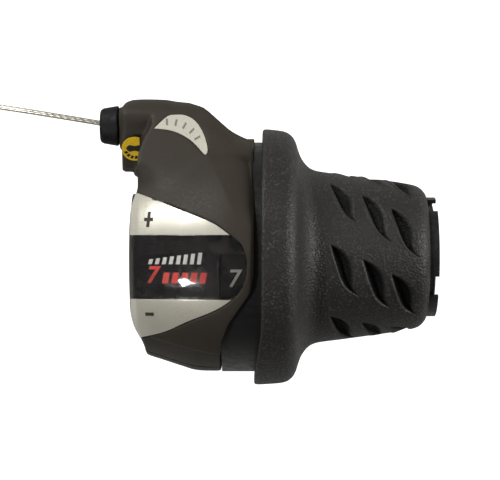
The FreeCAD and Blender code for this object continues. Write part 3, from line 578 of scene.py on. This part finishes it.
class StageSettings(bpy.types.PropertyGroup):
    """Camera, floor and lights."""

    distance: FloatProperty(
        name="Camera distance",
        description="Height of the camera above the handlebar's axis",
        default=0.45,
        unit="LENGTH",
    )
    lens: FloatProperty(name="Lens", description="Focal length in millimetres", default=139.7)
    look_x: FloatProperty(
        name="Aim along bar",
        description="Point along the bar that the camera looks at",
        default=0.0270,
        unit="LENGTH",
    )
    look_y: FloatProperty(
        name="Aim forward",
        description="Point forward of the bar that the camera looks at",
        default=0.0039,
        unit="LENGTH",
    )
    floor: FloatVectorProperty(
        name="Floor", description="Colour of the floor", default=(0.35, 0.35, 0.34), subtype="COLOR"
    )
    floor_size: FloatProperty(
        name="Floor size", description="Side of the square floor", default=2.4, unit="LENGTH"
    )
    world: FloatProperty(name="Surround", description="Light from all round", default=0.12)


class FinishSettings(bpy.types.PropertyGroup):
    """Base colours."""

    housing: FloatVectorProperty(
        name="Housing",
        description="Moulded housing plastic",
        default=(0.0238, 0.0186, 0.0128),
        subtype="COLOR",
    )
    rubber: FloatVectorProperty(
        name="Rubber", description="Grip rubber", default=(0.0071, 0.0063, 0.0053), subtype="COLOR"
    )
    core: FloatVectorProperty(
        name="Core",
        description="Smooth black parts",
        default=(0.0065, 0.006, 0.006),
        subtype="COLOR",
    )
    silver: FloatVectorProperty(
        name="Silver", description="Window panels", default=(0.44, 0.42, 0.35), subtype="COLOR"
    )
    steel: FloatVectorProperty(
        name="Steel", description="Bare wire", default=(0.60, 0.56, 0.48), subtype="COLOR"
    )


class GripSettings(bpy.types.PropertyGroup):
    """Recesses of the rubber grip."""

    rows: IntProperty(name="Rows", description="Rows of recesses round the grip", default=7, min=1)
    depth: FloatProperty(
        name="Depth", description="Depth of a recess", default=0.0017, unit="LENGTH"
    )
    ridge: FloatProperty(
        name="Ridge",
        description="Height of the lip along a recess",
        default=0.00016,
        unit="LENGTH",
    )
    around: IntProperty(
        name="Faces around", description="Faces round the grip", default=720, min=64
    )


class WireSettings(bpy.types.PropertyGroup):
    """The bare inner wire."""

    diameter: FloatProperty(
        name="Diameter", description="Wire thickness", default=0.0012, unit="LENGTH"
    )
    length: FloatProperty(
        name="Length",
        description="Length from the adjuster to the cut end",
        default=1.648,
        unit="LENGTH",
    )
    points_per_turn: IntProperty(
        name="Points per turn", description="Control points in a turn of the coil", default=16
    )


# ---------------------------------------------------------------- stage and wire

LIGHT_TARGET = (0.02, 0.0, 0.0)

# The coil's round bundle: turns in each row, and the spacing between and within the rows.
BUNDLE_ROWS = [4, 5, 4, 5, 4]
BUNDLE_ACROSS = 1.23
BUNDLE_UP = 1.07

# Length of the free wire before its coil begins.
UNCOILED = 103.5


class SHIFTER_OT_stage(bpy.types.Operator):
    """Set up the camera, the pale floor and the soft lights"""

    bl_idname = "shifter.stage"
    bl_label = "Stage"

    def execute(self, context):
        settings = context.scene.shifter_stage
        camera_data = bpy.data.cameras.new("camera")
        camera_data.lens = settings.lens
        camera_data.sensor_width = 36.0
        camera_data.clip_start = 0.01
        camera_data.dof.use_dof = False
        camera = new_object("camera", camera_data)
        camera.location = (settings.look_x, settings.look_y, settings.distance)
        context.scene.camera = camera
        self.floor(settings)
        self.lights(settings)
        context.scene.view_settings.view_transform = "Standard"
        return {"FINISHED"}

    def floor(self, settings):
        low = CAD_BOX[0].z
        half = settings.floor_size / 2
        corners = [(-half, -half, low), (half, -half, low), (half, half, low), (-half, half, low)]
        floor = new_object("floor", mesh_from("floor", corners, [(0, 1, 2, 3)]))
        finish = Finish("floor_paper", tuple(settings.floor), 0.9, specular=0.1)
        finish.tint(finish.noise(30.0, 2), [c * 0.98 for c in settings.floor], 0.4, 0.7)
        finish.shader.inputs["Emission Color"].default_value = (1, 1, 1, 1)
        path = finish.add("ShaderNodeLightPath")
        bright = finish.ramp(path.outputs["Is Camera Ray"], 0.1, 1.0, 0.0, 1.0)
        finish.link(bright, finish.shader.inputs["Emission Strength"])
        floor.data.materials.append(finish.material)

    def lights(self, settings):
        world = bpy.data.worlds.new("studio")
        world.use_nodes = True
        background = world.node_tree.nodes["Background"]
        background.inputs["Color"].default_value = (1.0, 0.99, 0.97, 1)
        background.inputs["Strength"].default_value = settings.world
        bpy.context.scene.world = world
        self.soft("flash", (-0.228, -0.155, 0.313), 0.040, 0.7)
        self.soft("key", (-0.28, 0.40, 0.31), 0.20, 3.1)
        self.soft("fill", (0.46, 0.09, 0.18), 0.20, 2.3)

    def soft(self, name, place, size, watts):
        data = bpy.data.lights.new(name, "AREA")
        data.size = size
        data.energy = watts
        lamp = new_object(name, data)
        lamp.location = place
        aim = Vector(LIGHT_TARGET) - lamp.location
        lamp.rotation_euler = aim.to_track_quat("-Z", "Y").to_euler()


def bundle_slots():
    """Places of the turns in the coil's round bundle, row by row, as (outward, up)."""
    slots = []
    for j, count in enumerate(BUNDLE_ROWS):
        up = (j - 2) * BUNDLE_UP
        row = [((i - (count - 1) / 2) * BUNDLE_ACROSS, up) for i in range(count)]
        slots += row if j % 2 == 0 else row[::-1]
    return slots


def coil_points(count, turns):
    """Control points of the coil's turns, each turn in its own place in the bundle."""
    end = Vector(FREE_ROUTE[-1])
    heading = (end - Vector(FREE_ROUTE[-2])).normalized()
    centre = end + Vector((-heading.y, heading.x, 0)) * COIL_RADIUS
    first = math.atan2(end.y - centre.y, end.x - centre.x)
    slots = bundle_slots()
    swell = 1 / math.cos(math.pi / count) ** 0.5
    points = []
    for step in range(2, int(turns * count) + 1):
        whole, part = divmod(step / count, 1.0)
        here = slots[min(int(whole), len(slots) - 1)]
        after = slots[min(int(whole) + 1, len(slots) - 1)]
        u = smoothstep(0.7, 1.0, part)
        out = here[0] + (after[0] - here[0]) * u
        rise = here[1] + (after[1] - here[1]) * u
        settle = min(1.0, step / (0.5 * count))
        radius = (COIL_RADIUS + out * settle) * swell
        angle = first + 2 * math.pi * step / count
        offset = Vector((radius * math.cos(angle), radius * math.sin(angle), rise * settle))
        points.append(centre + offset)
    return points


class SHIFTER_OT_wire(bpy.types.Operator):
    """Make the bare wire and its coil, and dress the wire inside the housing"""

    bl_idname = "shifter.wire"
    bl_label = "Wire"

    def execute(self, context):
        settings = context.scene.shifter_wire
        steel = wire_steel(context.scene.shifter_finish)
        turns = (settings.length / MM - UNCOILED) / (2 * math.pi * COIL_RADIUS)
        points = [Vector(p) for p in FREE_ROUTE]
        points += coil_points(settings.points_per_turn, turns)
        curve = bpy.data.curves.new("gear_wire", "CURVE")
        curve.dimensions = "3D"
        spline = curve.splines.new("NURBS")
        spline.points.add(len(points) - 1)
        for control, point in zip(spline.points, points):
            control.co = (*(point * MM), 1)
        spline.order_u = 3
        spline.use_endpoint_u = True
        spline.resolution_u = 6
        curve.bevel_depth = settings.diameter / 2
        curve.bevel_resolution = 3
        curve.use_fill_caps = True
        curve.materials.append(steel)
        wire = new_object("gear_wire", curve, "bracket")
        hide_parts("wire_tube", "wire_coil")
        dress("wire_inside", steel)
        return {"FINISHED"}


# ---------------------------------------------------------------- grip

# Outside of the rubber, from the flange's inboard lip to the thin end, as (position, radius).
RUBBER_OUTSIDE = [
    (29.4, 26.55), (29.4, 28.6), (29.5, 29.2), (29.9, 29.48), (31.0, 29.5),
    (34.0, 29.2), (35.6, 28.75), (36.8, 27.8), (37.55, 26.5), (38.1, 24.8),
    (38.7, 23.2), (39.5, 21.9), (40.6, 20.75), (42.0, 20.05), (44.0, 19.65),
    (48.0, 19.15), (52.8, 18.5), (58.6, 17.7), (62.5, 17.1), (64.9, 16.6),
    (66.2, 16.0), (67.1, 15.1), (67.5, 14.4), (67.6, 13.9),
]

RUBBER_INSIDE = [
    (67.0, 13.87), (58.0, 15.46), (45.0, 17.26), (41.2, 17.66), (38.6, 20.26),
    (36.6, 23.66), (35.4, 25.66), (33.6, 26.56), (31.0, 26.56),
]

# Each recess in a row, as (tip along the bar, reach along the bar, angle of its middle from
# the window in degrees, length round the grip).
RECESSES = [(44.8, 6.6, 9.4, 12.0), (52.0, 7.0, 20.8, 12.4), (58.4, 6.7, 31.6, 11.8)]


RECESS_WIDTH = 4.3
RIDGE_WIDTH = 0.8
END_SWEEP = 0.45
END_SHARPNESS = 8


def recess_depth(x, angle, radius, settings):
    """How far the surface sinks at a place: steep on one side, fading out on the other."""
    deepest = 0.0
    ridge = 0.0
    pitch = 360.0 / settings.rows
    for tip, reach, below, length in RECESSES:
        away = (angle - (UP + below) + pitch / 2) % pitch - pitch / 2
        for turn in (away, away - pitch, away + pitch):
            along = math.radians(turn) * radius / length + 0.5
            if not 0.0 < along < 1.0:
                continue
            left = tip + reach * ((1 - END_SWEEP) * along + END_SWEEP * along**END_SHARPNESS)
            swell = math.sin(math.pi * along**0.75)
            width = RECESS_WIDTH * swell**0.85
            if -RIDGE_WIDTH < x - left < 0.0:
                lip = math.sin(math.pi * (left - x) / RIDGE_WIDTH)
                ridge = max(ridge, lip * swell**0.5)
            across = (x - left) / max(width, 0.05)
            if not 0.0 < across < 1.0:
                continue
            wall = smoothstep(0.0, min(0.5, 0.5 / max(width, 0.1)), across)
            fade = 0.5 + 0.5 * math.cos(math.pi * across**1.4)
            deepest = max(deepest, wall * fade * swell**0.5)
    return (deepest * settings.depth - ridge * settings.ridge) / MM


def fine_outline(points, spacing):
    """Catmull-Rom curve through outline points, about evenly spaced."""
    vectors = [Vector(p) for p in points]
    count = len(vectors)
    fine = []
    for i in range(count - 1):
        p0 = vectors[max(i - 1, 0)]
        p1 = vectors[i]
        p2 = vectors[i + 1]
        p3 = vectors[min(i + 2, count - 1)]
        steps = max(2, int((p2 - p1).length / spacing))
        for j in range(steps):
            u = j / steps
            point = 2 * p1 + (p2 - p0) * u + (2 * p0 - 5 * p1 + 4 * p2 - p3) * u * u
            fine.append(0.5 * (point + (3 * p1 - p0 - 3 * p2 + p3) * u**3))
    fine.append(vectors[-1])
    return fine


class SHIFTER_OT_grip(bpy.types.Operator):
    """Make the rubber grip with its flange and recesses"""

    bl_idname = "shifter.grip"
    bl_label = "Rubber grip"

    def execute(self, context):
        settings = context.scene.shifter_grip
        outside = fine_outline(RUBBER_OUTSIDE, 0.18)
        rows = []
        painted_shade_amounts = []
        for i in range(settings.around):
            angle = 360.0 * i / settings.around
            row = []
            for x, radius in outside:
                sink = 0.0
                if 43.5 < x < 66.5:
                    sink = recess_depth(x, angle, radius, settings)
                row.append(self.lean(x, radius - sink, angle))
                painted_shade_amounts.append(max(0.0, sink / (settings.depth / MM)))
            for x, radius in RUBBER_INSIDE:
                row.append(on_bar(x, radius, angle))
                painted_shade_amounts.append(0.0)
            rows.append(row)
        mesh = outward(grid("rubber_grip", rows, closed_across=True, closed_along=True))
        # The recess depths carry the rubber's painted shade.
        mesh.attributes.new("recess", "FLOAT", "POINT").data.foreach_set("value", painted_shade_amounts)
        mesh.materials.append(grip_rubber(context.scene.shifter_finish))
        grip = new_object("soft_grip", mesh, "twist_grip")
        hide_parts("rubber_grip")
        return {"FINISHED"}

    def lean(self, x, radius, angle):
        """Point of the grip, with the flange's inboard edge a little aslant to the bar."""
        forward = radius * math.cos(math.radians(angle))
        shift = 0.5 * smoothstep(10, 30, forward) - 1.5 * smoothstep(-14, -30, forward)
        fade = 1 - smoothstep(29.4, 34.5, x)
        return on_bar(x + shift * fade, radius, angle)


class SHIFTER_OT_numbers(bpy.types.Operator):
    """Print the gear numbers round the grip's skirt"""

    bl_idname = "shifter.numbers"
    bl_label = "Gear numbers"

    def execute(self, context):
        ink = print_ink("number_ink", (0.46, 0.42, 0.37), 0.45)
        for gear in range(1, GEARS + 1):
            middle = NUMBER_ANGLE - CLICK_ANGLE * (GEARS - gear)

            def place(u, v, middle=middle):
                angle = middle - math.degrees(v / NUMBER_RADIUS)
                return on_bar(NUMBER_X + u, NUMBER_RADIUS, angle)

            numeral = letter(str(gear), 3.9, 0.12, 0.05)
            laid(f"gear_number_{gear}", numeral, place, 0.05, "twist_grip", "number_black", ink)
        return {"FINISHED"}


# ---------------------------------------------------------------- housing


# How far the dome's front outline is drawn in, as (position along the bar, distance).
SHOULDER = [
    (-3.0, 2.2), (-1.5, 1.2), (0.6, 0.5), (7.5, 0.5), (10.2, 0.9),
    (13.0, 1.15), (17.0, 0.9), (20.0, 1.4), (22.6, 1.8), (25.4, 1.4),
    (26.8, 0.9), (28.4, 0.0),
]

# Where the dome stands up from the nose, as (forward, along the bar).
DOME_EDGE = [(19.5, 1.6), (23.7, 2.1), (27.1, 3.3), (29.8, 4.8), (37.0, 5.8)]
NOSE_SINK = 1.5

# Front outline of the nose and the dome, as (along the bar, forward).
LOBE_OUTLINE = [
    (-3.0, 36.6), (12.8, 36.6), (16.4, 34.9), (17.9, 33.8), (27.4, 27.0),
    (29.0, 25.9),
]

# The dome's fold runs aslant across the bar: a point of it, its slope, and how steeply the
# surface falls away beyond it.
FOLD_X = 23.7
FOLD_Y = 9.9
FOLD_SLOPE = 0.484
FOLD_FALL = 0.15

# How far the housing's inboard rim is rounded off below and above the window.
RIM_REACH_BELOW = 3.4
RIM_REACH_ABOVE = 2.0
RIM_SHARE = 0.75

LEDGE_DEPTH = 0.9
BLEND_REACH = 7.0
BLEND_PASSES = 300


def trimmed(x, y, z):
    """Place along the bar of a point of the housing once its inboard rim is rounded off."""
    if y < 0:
        share = smoothstep(-10, -21, y)
        reach = RIM_REACH_BELOW * share
    else:
        share = smoothstep(8, 16, y) * (1 - smoothstep(18.0, 19.4, y))
        reach = RIM_REACH_ABOVE * share
    share *= smoothstep(-14, -4, z)
    return x + (reach - x) * RIM_SHARE * share if x < reach else x


def reshape(mesh):
    """Round off the inboard rim, sink the nose, fold the dome and draw in its shoulder."""
    for vertex in mesh.vertices:
        x, y, z = vertex.co / MM
        vertex.co.x = trimmed(x, y, z) * MM
        if y > 20 and z > 6:
            inward = smoothstep(-0.1, 1.0, cubic(DOME_EDGE, y) - x)
            inward *= 1 - smoothstep(28.5, 33.0, y)
            vertex.co.z -= NOSE_SINK * inward * smoothstep(6.0, 12.5, z) * MM
        fold = x - FOLD_X + FOLD_SLOPE * (y - FOLD_Y)
        radius = math.hypot(y, z)
        if fold > 0 and 6 < y < 28 and z > 8 and radius > cubic(FRONT_PROFILE, x) - 0.9:
            sink = FOLD_FALL * fold * smoothstep(6, 12, y) * (1 - smoothstep(23, 28, y))
            vertex.co.y -= sink * y / radius * MM
            vertex.co.z -= sink * z / radius * MM
        edge = straight(LOBE_OUTLINE, x)
        if edge:
            start = edge - 3 - 4 * smoothstep(0, 8, x)
            vertex.co.y -= cubic(SHOULDER, x) * smoothstep(start, edge - 0.3, y) * MM


def soften_crease(obj):
    """Bring the dome down to the window's edge and blend it into the round body."""
    group = obj.vertex_groups.new(name="crease")
    for vertex in obj.data.vertices:
        x, y, z = vertex.co / MM
        if z < 9.0 or y < 3.0 or x > 27.5:
            continue
        radius = math.hypot(y, z)
        over = radius - cubic(FRONT_PROFILE, x)
        clear = y - cubic(LEAF_TOP, x)
        if over > 0 and -0.15 < clear < BLEND_REACH:
            lowered = radius - over * (1 - smoothstep(0.0, BLEND_REACH, clear))
            vertex.co.z = math.sqrt(lowered * lowered - y * y) * MM
        if clear <= -0.15 and x < 5.0 and y > 6.0:
            under = LEDGE_DEPTH * (1 - smoothstep(3.5, 5.0, x)) * smoothstep(6.0, 9.0, y)
            ledge = min(radius, cubic(FRONT_PROFILE, x)) - under
            vertex.co.y *= ledge / radius
            vertex.co.z *= ledge / radius
        weight = smoothstep(-0.8, -0.3, over) * smoothstep(0.5, 2.0, clear)
        weight *= smoothstep(2.0, 4.5, x) * (1 - smoothstep(25.2, 27.2, x))
        weight *= 1 - smoothstep(20.0, 23.5, y)
        if weight > 0.01:
            group.add([vertex.index], weight, "REPLACE")
    blend = obj.modifiers.new("blend", "SMOOTH")
    blend.factor = 0.5
    blend.iterations = BLEND_PASSES
    blend.vertex_group = "crease"
    apply_modifiers(obj)


class SHIFTER_OT_housing(bpy.types.Operator):
    """Make the moulded upper and lower halves of the housing"""

    bl_idname = "shifter.housing"
    bl_label = "Housing"

    def execute(self, context):
        look = ("bracket", "housing_black", housing_plastic(context.scene.shifter_finish))
        upper = moulded("upper_shell", "upper_housing", 0.3, 8, FRONT_PROFILE, *look)
        soften_crease(upper)
        lower = moulded("lower_shell", "lower_housing", 0.3, 16, LOWER_PROFILE, *look)
        for shell in (upper, lower):
            reshape(shell.data)
        return {"FINISHED"}


def leaf_patch(name, x_start, x_end, low_of, high_of, drop, columns=90, rows=36):
    """Curved sheet between two edges, each given as a function of the place along the bar."""
    lines = []
    for i in range(columns + 1):
        x = x_start + (x_end - x_start) * math.sin(math.pi / 2 * i / columns)
        low, high = low_of(x), max(low_of(x) + 0.01, high_of(x))
        line = []
        for j in range(rows + 1):
            y = low + (high - low) * j / rows
            point = on_front(x, y, EDGE_LIFT * (1 - smoothstep(0.8, 2.4, x)) - drop)
            point.x = trimmed(x, y, 10.0) * MM
            line.append(point)
        lines.append(line)
    return outward_up(grid(name, lines))


def outward_up(mesh):
    """Turn an open sheet's faces towards +Z."""
    if sum(p.normal.z for p in mesh.polygons) < 0:
        mesh.flip_normals()
    return mesh


class SHIFTER_OT_window(bpy.types.Operator):
    """Make the clear lens, its black label and the silver panels"""

    bl_idname = "shifter.window"
    bl_label = "Window"

    def execute(self, context):
        def top(x):
            return cubic(LEAF_TOP, x) - PANEL_GAP

        def bottom(x):
            return cubic(LEAF_BOTTOM, x) + PANEL_GAP

        def band(clearance):
            """Lower and upper edge of the window's black band."""
            return (
                lambda x: max(BAND_BOTTOM + clearance, bottom(x)),
                lambda x: min(BAND_TOP - clearance, top(x)),
            )

        silver = silver_print(context.scene.shifter_finish)
        clear = clear_plastic()
        black = gloss_black()
        upper = leaf_patch(
            "upper_silver", PANEL_START, UPPER_PANEL_END, lambda x: BAND_TOP, top, PANEL_DROP
        )
        self.piece("upper_silver", upper, 1.0, "upper_panel", "silver_print", silver)
        lower = leaf_patch(
            "lower_silver", PANEL_START, LOWER_PANEL_END, bottom, lambda x: BAND_BOTTOM, PANEL_DROP
        )
        self.piece("lower_silver", lower, 1.0, "lower_panel", "silver_print", silver)
        lens = leaf_patch("number_lens", PANEL_START, LENS_END, *band(0.02), LENS_DROP)
        self.piece("number_lens", lens, 0.9, "window_lens", "clear", clear)
        label = leaf_patch("black_label", LABEL_START, LABEL_END, *band(0.0), LABEL_DROP)
        self.piece("black_label", label, 0.5, "window_label", "label_black", black)
        mask = leaf_patch(
            "number_mask",
            LABEL_END,
            MASK_END,
            lambda x: MASK_BOTTOM,
            lambda x: BAND_TOP,
            LABEL_DROP,
        )
        self.piece("number_mask", mask, 0.5, None, "label_black", black)
        return {"FINISHED"}

    def piece(self, name, mesh, thickness, node, slot, finish):
        obj = thicken(new_object(name, mesh), thickness, CORNER_ROUNDING)
        finished(obj, finish, "bracket", slot, node)


def slanted(x, y, width, height, lean=0.0):
    """Corners of a bar centred at a point and leaning by lean at its top."""
    return [
        (x - width / 2 - lean / 2, y - height / 2),
        (x + width / 2 - lean / 2, y - height / 2),
        (x + width / 2 + lean / 2, y + height / 2),
        (x - width / 2 + lean / 2, y + height / 2),
    ]


def turned(outline, turn, centre):
    """Outline turned about its origin and then moved to a centre."""
    spin = Matrix.Rotation(turn, 2)
    return [tuple(centre + spin @ Vector(p)) for p in outline]


class SHIFTER_OT_marks(bpy.types.Operator):
    """Print the plus, the minus and the plain bars on the window"""

    bl_idname = "shifter.marks"
    bl_label = "Marks"

    def execute(self, context):
        dark = print_ink("dark_ink", (0.016, 0.013, 0.008), 0.7)
        white = print_ink("white_ink", (0.85, 0.82, 0.76), 0.45)
        red = print_ink("red_ink", (0.75, 0.035, 0.02), 0.45)
        self.mark("plus_bar", slanted(*PLUS_AT, 2.0, 0.75), PRINT_ON_PANEL, dark)
        self.mark("plus_stem", slanted(*PLUS_AT, 0.68, 3.4, 0.35), PRINT_ON_PANEL + 0.005, dark)
        self.mark("minus_bar", slanted(*MINUS_AT, 1.9, 0.72), PRINT_ON_PANEL, dark)
        for i in range(8):
            height = 1.1 + 0.2 * i
            outline = slanted(5.2 + 1.55 * i, height / 2 - 1.4, 0.85, height, 0.35)
            self.mark(f"white_bar_{i}", outline, PRINT_ON_LABEL, white)
        for i in range(5):
            outline = slanted(8.6 + 2.05 * i, -4.4, 1.3, 2.3, 0.45)
            self.mark(f"red_bar_{i}", outline, PRINT_ON_LABEL, red)

        def place(u, v):
            return on_front(SEVEN_AT[0] + u, SEVEN_AT[1] + v, PRINT_ON_LABEL)

        seven = letter("7", 3.6, 0.2, 0.12)
        laid("red_seven", seven, place, 0.05, "bracket", "label_black", red)
        return {"FINISHED"}

    def mark(self, name, outline, lift, ink):
        def place(u, v):
            return on_front(u, v, lift)

        laid(name, flat_shape(outline, 6), place, 0.04, "bracket", "label_black", ink)


# ---------------------------------------------------------------- badge and sticker

BADGE_LIFT = 0.2
TICK_LIFT = 0.23
TICK_CENTRE = (8.7, 22.9)
TICK_RADIUS = 7.6
STICKER_RADIUS = 3.0
STICKER_PRINT = 0.12

BADGE_CORNERS = [
    (5.5, 29.0), (7.0, 30.6), (8.6, 31.9), (10.2, 32.15), (12.0, 32.1),
    (13.9, 31.3), (15.4, 29.8), (16.6, 27.6), (17.4, 25.0), (17.45, 23.6),
    (17.0, 23.0), (16.3, 23.6), (15.1, 25.0), (13.3, 26.6), (10.8, 28.0),
    (8.4, 28.7),
]


def lobe_plane():
    """Two points of the straight line across the lobe's sloping top, as (forward, up)."""
    body_radius = 25.0
    outlet_radius = 6.5
    outlet = Vector((30.0, 6.0))
    lean = math.asin((body_radius - outlet_radius) / outlet.length)
    normal = math.atan2(outlet.y, outlet.x) + math.pi / 2 - lean
    direction = Vector((math.cos(normal), math.sin(normal)))
    return direction * body_radius, outlet + direction * outlet_radius


def on_lobe(x, y, lift):
    """Point above the lobe's flat top at (x, y)."""
    near, far = lobe_plane()
    u = (y - near.x) / (far.x - near.x)
    return Vector((x, y, near.y + (far.y - near.y) * u + lift)) * MM


class SHIFTER_OT_badge(bpy.types.Operator):
    """Make the crescent badge and the round yellow sticker"""

    bl_idname = "shifter.badge"
    bl_label = "Badge and sticker"

    def execute(self, context):
        settings = context.scene.shifter_finish
        foil = silver_print(settings, "badge_foil", 1.15)
        ring = BADGE_CORNERS + BADGE_CORNERS[:1]
        outline = [(p.x, p.y) for p in fine_outline(ring, 0.4)[:-1]]

        def place(u, v):
            return on_lobe(u, v, BADGE_LIFT)

        shape = flat_shape(outline, 12)
        badge = laid("crescent", shape, place, 0.45, "bracket", "badge_silver", foil)
        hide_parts("crescent_badge")
        grey = print_ink("grey_ink", (0.14, 0.14, 0.13), 0.5)
        for i in range(5):
            turn = math.radians(93 - 15.5 * i)
            spoke = Vector((math.cos(turn), math.sin(turn)))
            centre = Vector(TICK_CENTRE) + spoke * TICK_RADIUS
            self.tick(f"badge_tick_{i}", centre, turn, grey)
        self.sticker()
        return {"FINISHED"}

    def tick(self, name, centre, turn, ink):
        def place(u, v):
            return on_lobe(u, v, TICK_LIFT)

        shape = flat_shape(turned(slanted(0, 0, 1.5, 0.45, 0.2), turn, centre), 3)
        laid(name, shape, place, 0.03, "bracket", "badge_silver", ink)

    def sticker(self):
        yellow = print_ink("sticker_yellow", (0.78, 0.50, 0.015), 0.3)
        dress("round_sticker", yellow)
        black = print_ink("sticker_black", (0.02, 0.018, 0.015), 0.35)
        low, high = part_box("round_sticker")
        slope = (high.z - low.z) / (high.y - low.y)
        middle = (low + high) / 2 / MM
        centre_x = low.x / MM + STICKER_RADIUS

        def place(u, v):
            """Spot on the sticker, measured from its centre along its own face."""
            run = v / math.hypot(1, slope)
            rise = run * slope + STICKER_PRINT
            return Vector((centre_x + u, middle.y + run, middle.z + rise)) * MM

        blob = []
        for i in range(36):
            turn = 2 * math.pi * i / 36
            waist = 1.0 - 0.25 * math.cos(turn) ** 8 - 0.3 * math.cos(4 * turn)
            blob.append((1.95 * math.cos(turn), 0.1 + 0.85 * waist * math.sin(turn)))
        laid("sticker_blob", flat_shape(blob, 5), place, 0.03, "bracket", "sticker_yellow", black)
        for i in range(4):
            turn = math.radians(205 + 24 * i)
            centre = Vector((math.cos(turn), math.sin(turn))) * 2.2
            outline = turned(slanted(0, 0, 0.6, 0.75, 0.15), turn + math.pi / 2, centre)
            shape = flat_shape([(min(u, 1.0), v) for u, v in outline], 3)
            name = f"sticker_tick_{i}"
            laid(name, shape, place, 0.03, "bracket", "sticker_yellow", black)


# ---------------------------------------------------------------- adjuster and hardware


class SHIFTER_OT_adjuster(bpy.types.Operator):
    """Make the adjuster's knob"""

    bl_idname = "shifter.adjuster"
    bl_label = "Adjuster"

    def execute(self, context):
        black = smooth_black(context.scene.shifter_finish, "knob_black", 0.58, 0.14)
        moulded("adjuster_knob", "adjuster_barrel", 0.14, 5, None, "adjuster_knob", "knob", black)
        dress("casing_seat", slippery_plastic("liner_white", (0.82, 0.81, 0.78)))
        return {"FINISHED"}


class SHIFTER_OT_hardware(bpy.types.Operator):
    """Give the clamp, screws, drum, washers and other pieces their finishes"""

    bl_idname = "shifter.hardware"
    bl_label = "Hardware"

    def execute(self, context):
        black = smooth_black(context.scene.shifter_finish)
        for node in ("bracket_core", "grip_core", "port_cap", "coil_tie"):
            dress(node, black)
        dark_steel = turned_metal("dark_steel", (0.16, 0.16, 0.17), 0.36)
        for node in ("clamp_bolt", "housing_screws"):
            dress(node, dark_steel)
        spring = turned_metal("spring_steel", (0.07, 0.07, 0.075), 0.4)
        for node in ("detent_spring", "end_washer", "end_clip"):
            dress(node, spring)
        bright = turned_metal("bright_steel", (0.62, 0.61, 0.59), 0.3)
        for node in ("clamp_nut", "wire_nipple"):
            dress(node, bright)
        dress("adjuster_insert", turned_metal("turned_brass", (0.70, 0.50, 0.18), 0.28))
        for node in ("cable_guide", "thrust_washer"):
            dress(node, material("liner_white"))
        dress("cable_drum", slippery_plastic("drum_acetal", (0.55, 0.55, 0.52)))
        dress("number_band", gloss_black("band_black", (0.014, 0.012, 0.012)))
        return {"FINISHED"}


# ---------------------------------------------------------------- add-on parts

STEPS = (
    "stage", "wire", "grip", "numbers", "housing",
    "window", "marks", "badge", "adjuster", "hardware",
)


class SHIFTER_PT_panel(bpy.types.Panel):
    """Lists every step of the shifter"""

    bl_label = "Twist grip shifter"
    bl_idname = "SHIFTER_PT_panel"
    bl_space_type = "VIEW_3D"
    bl_region_type = "UI"
    bl_category = "Shifter"

    def draw(self, context):
        for step in STEPS:
            self.layout.operator("shifter." + step)


SETTINGS = {
    "shifter_stage": StageSettings,
    "shifter_finish": FinishSettings,
    "shifter_grip": GripSettings,
    "shifter_wire": WireSettings,
}

CLASSES = (
    *SETTINGS.values(),
    SHIFTER_OT_stage,
    SHIFTER_OT_wire,
    SHIFTER_OT_grip,
    SHIFTER_OT_numbers,
    SHIFTER_OT_housing,
    SHIFTER_OT_window,
    SHIFTER_OT_marks,
    SHIFTER_OT_badge,
    SHIFTER_OT_adjuster,
    SHIFTER_OT_hardware,
    SHIFTER_PT_panel,
)


def register():
    for cls in CLASSES:
        bpy.utils.register_class(cls)
    for name, cls in SETTINGS.items():
        setattr(bpy.types.Scene, name, PointerProperty(type=cls))


def unregister():
    for name in SETTINGS:
        delattr(bpy.types.Scene, name)
    for cls in reversed(CLASSES):
        bpy.utils.unregister_class(cls)


def main():
    register()
    for step in STEPS:
        getattr(bpy.ops.shifter, step)()


if __name__ == "__main__":
    main()
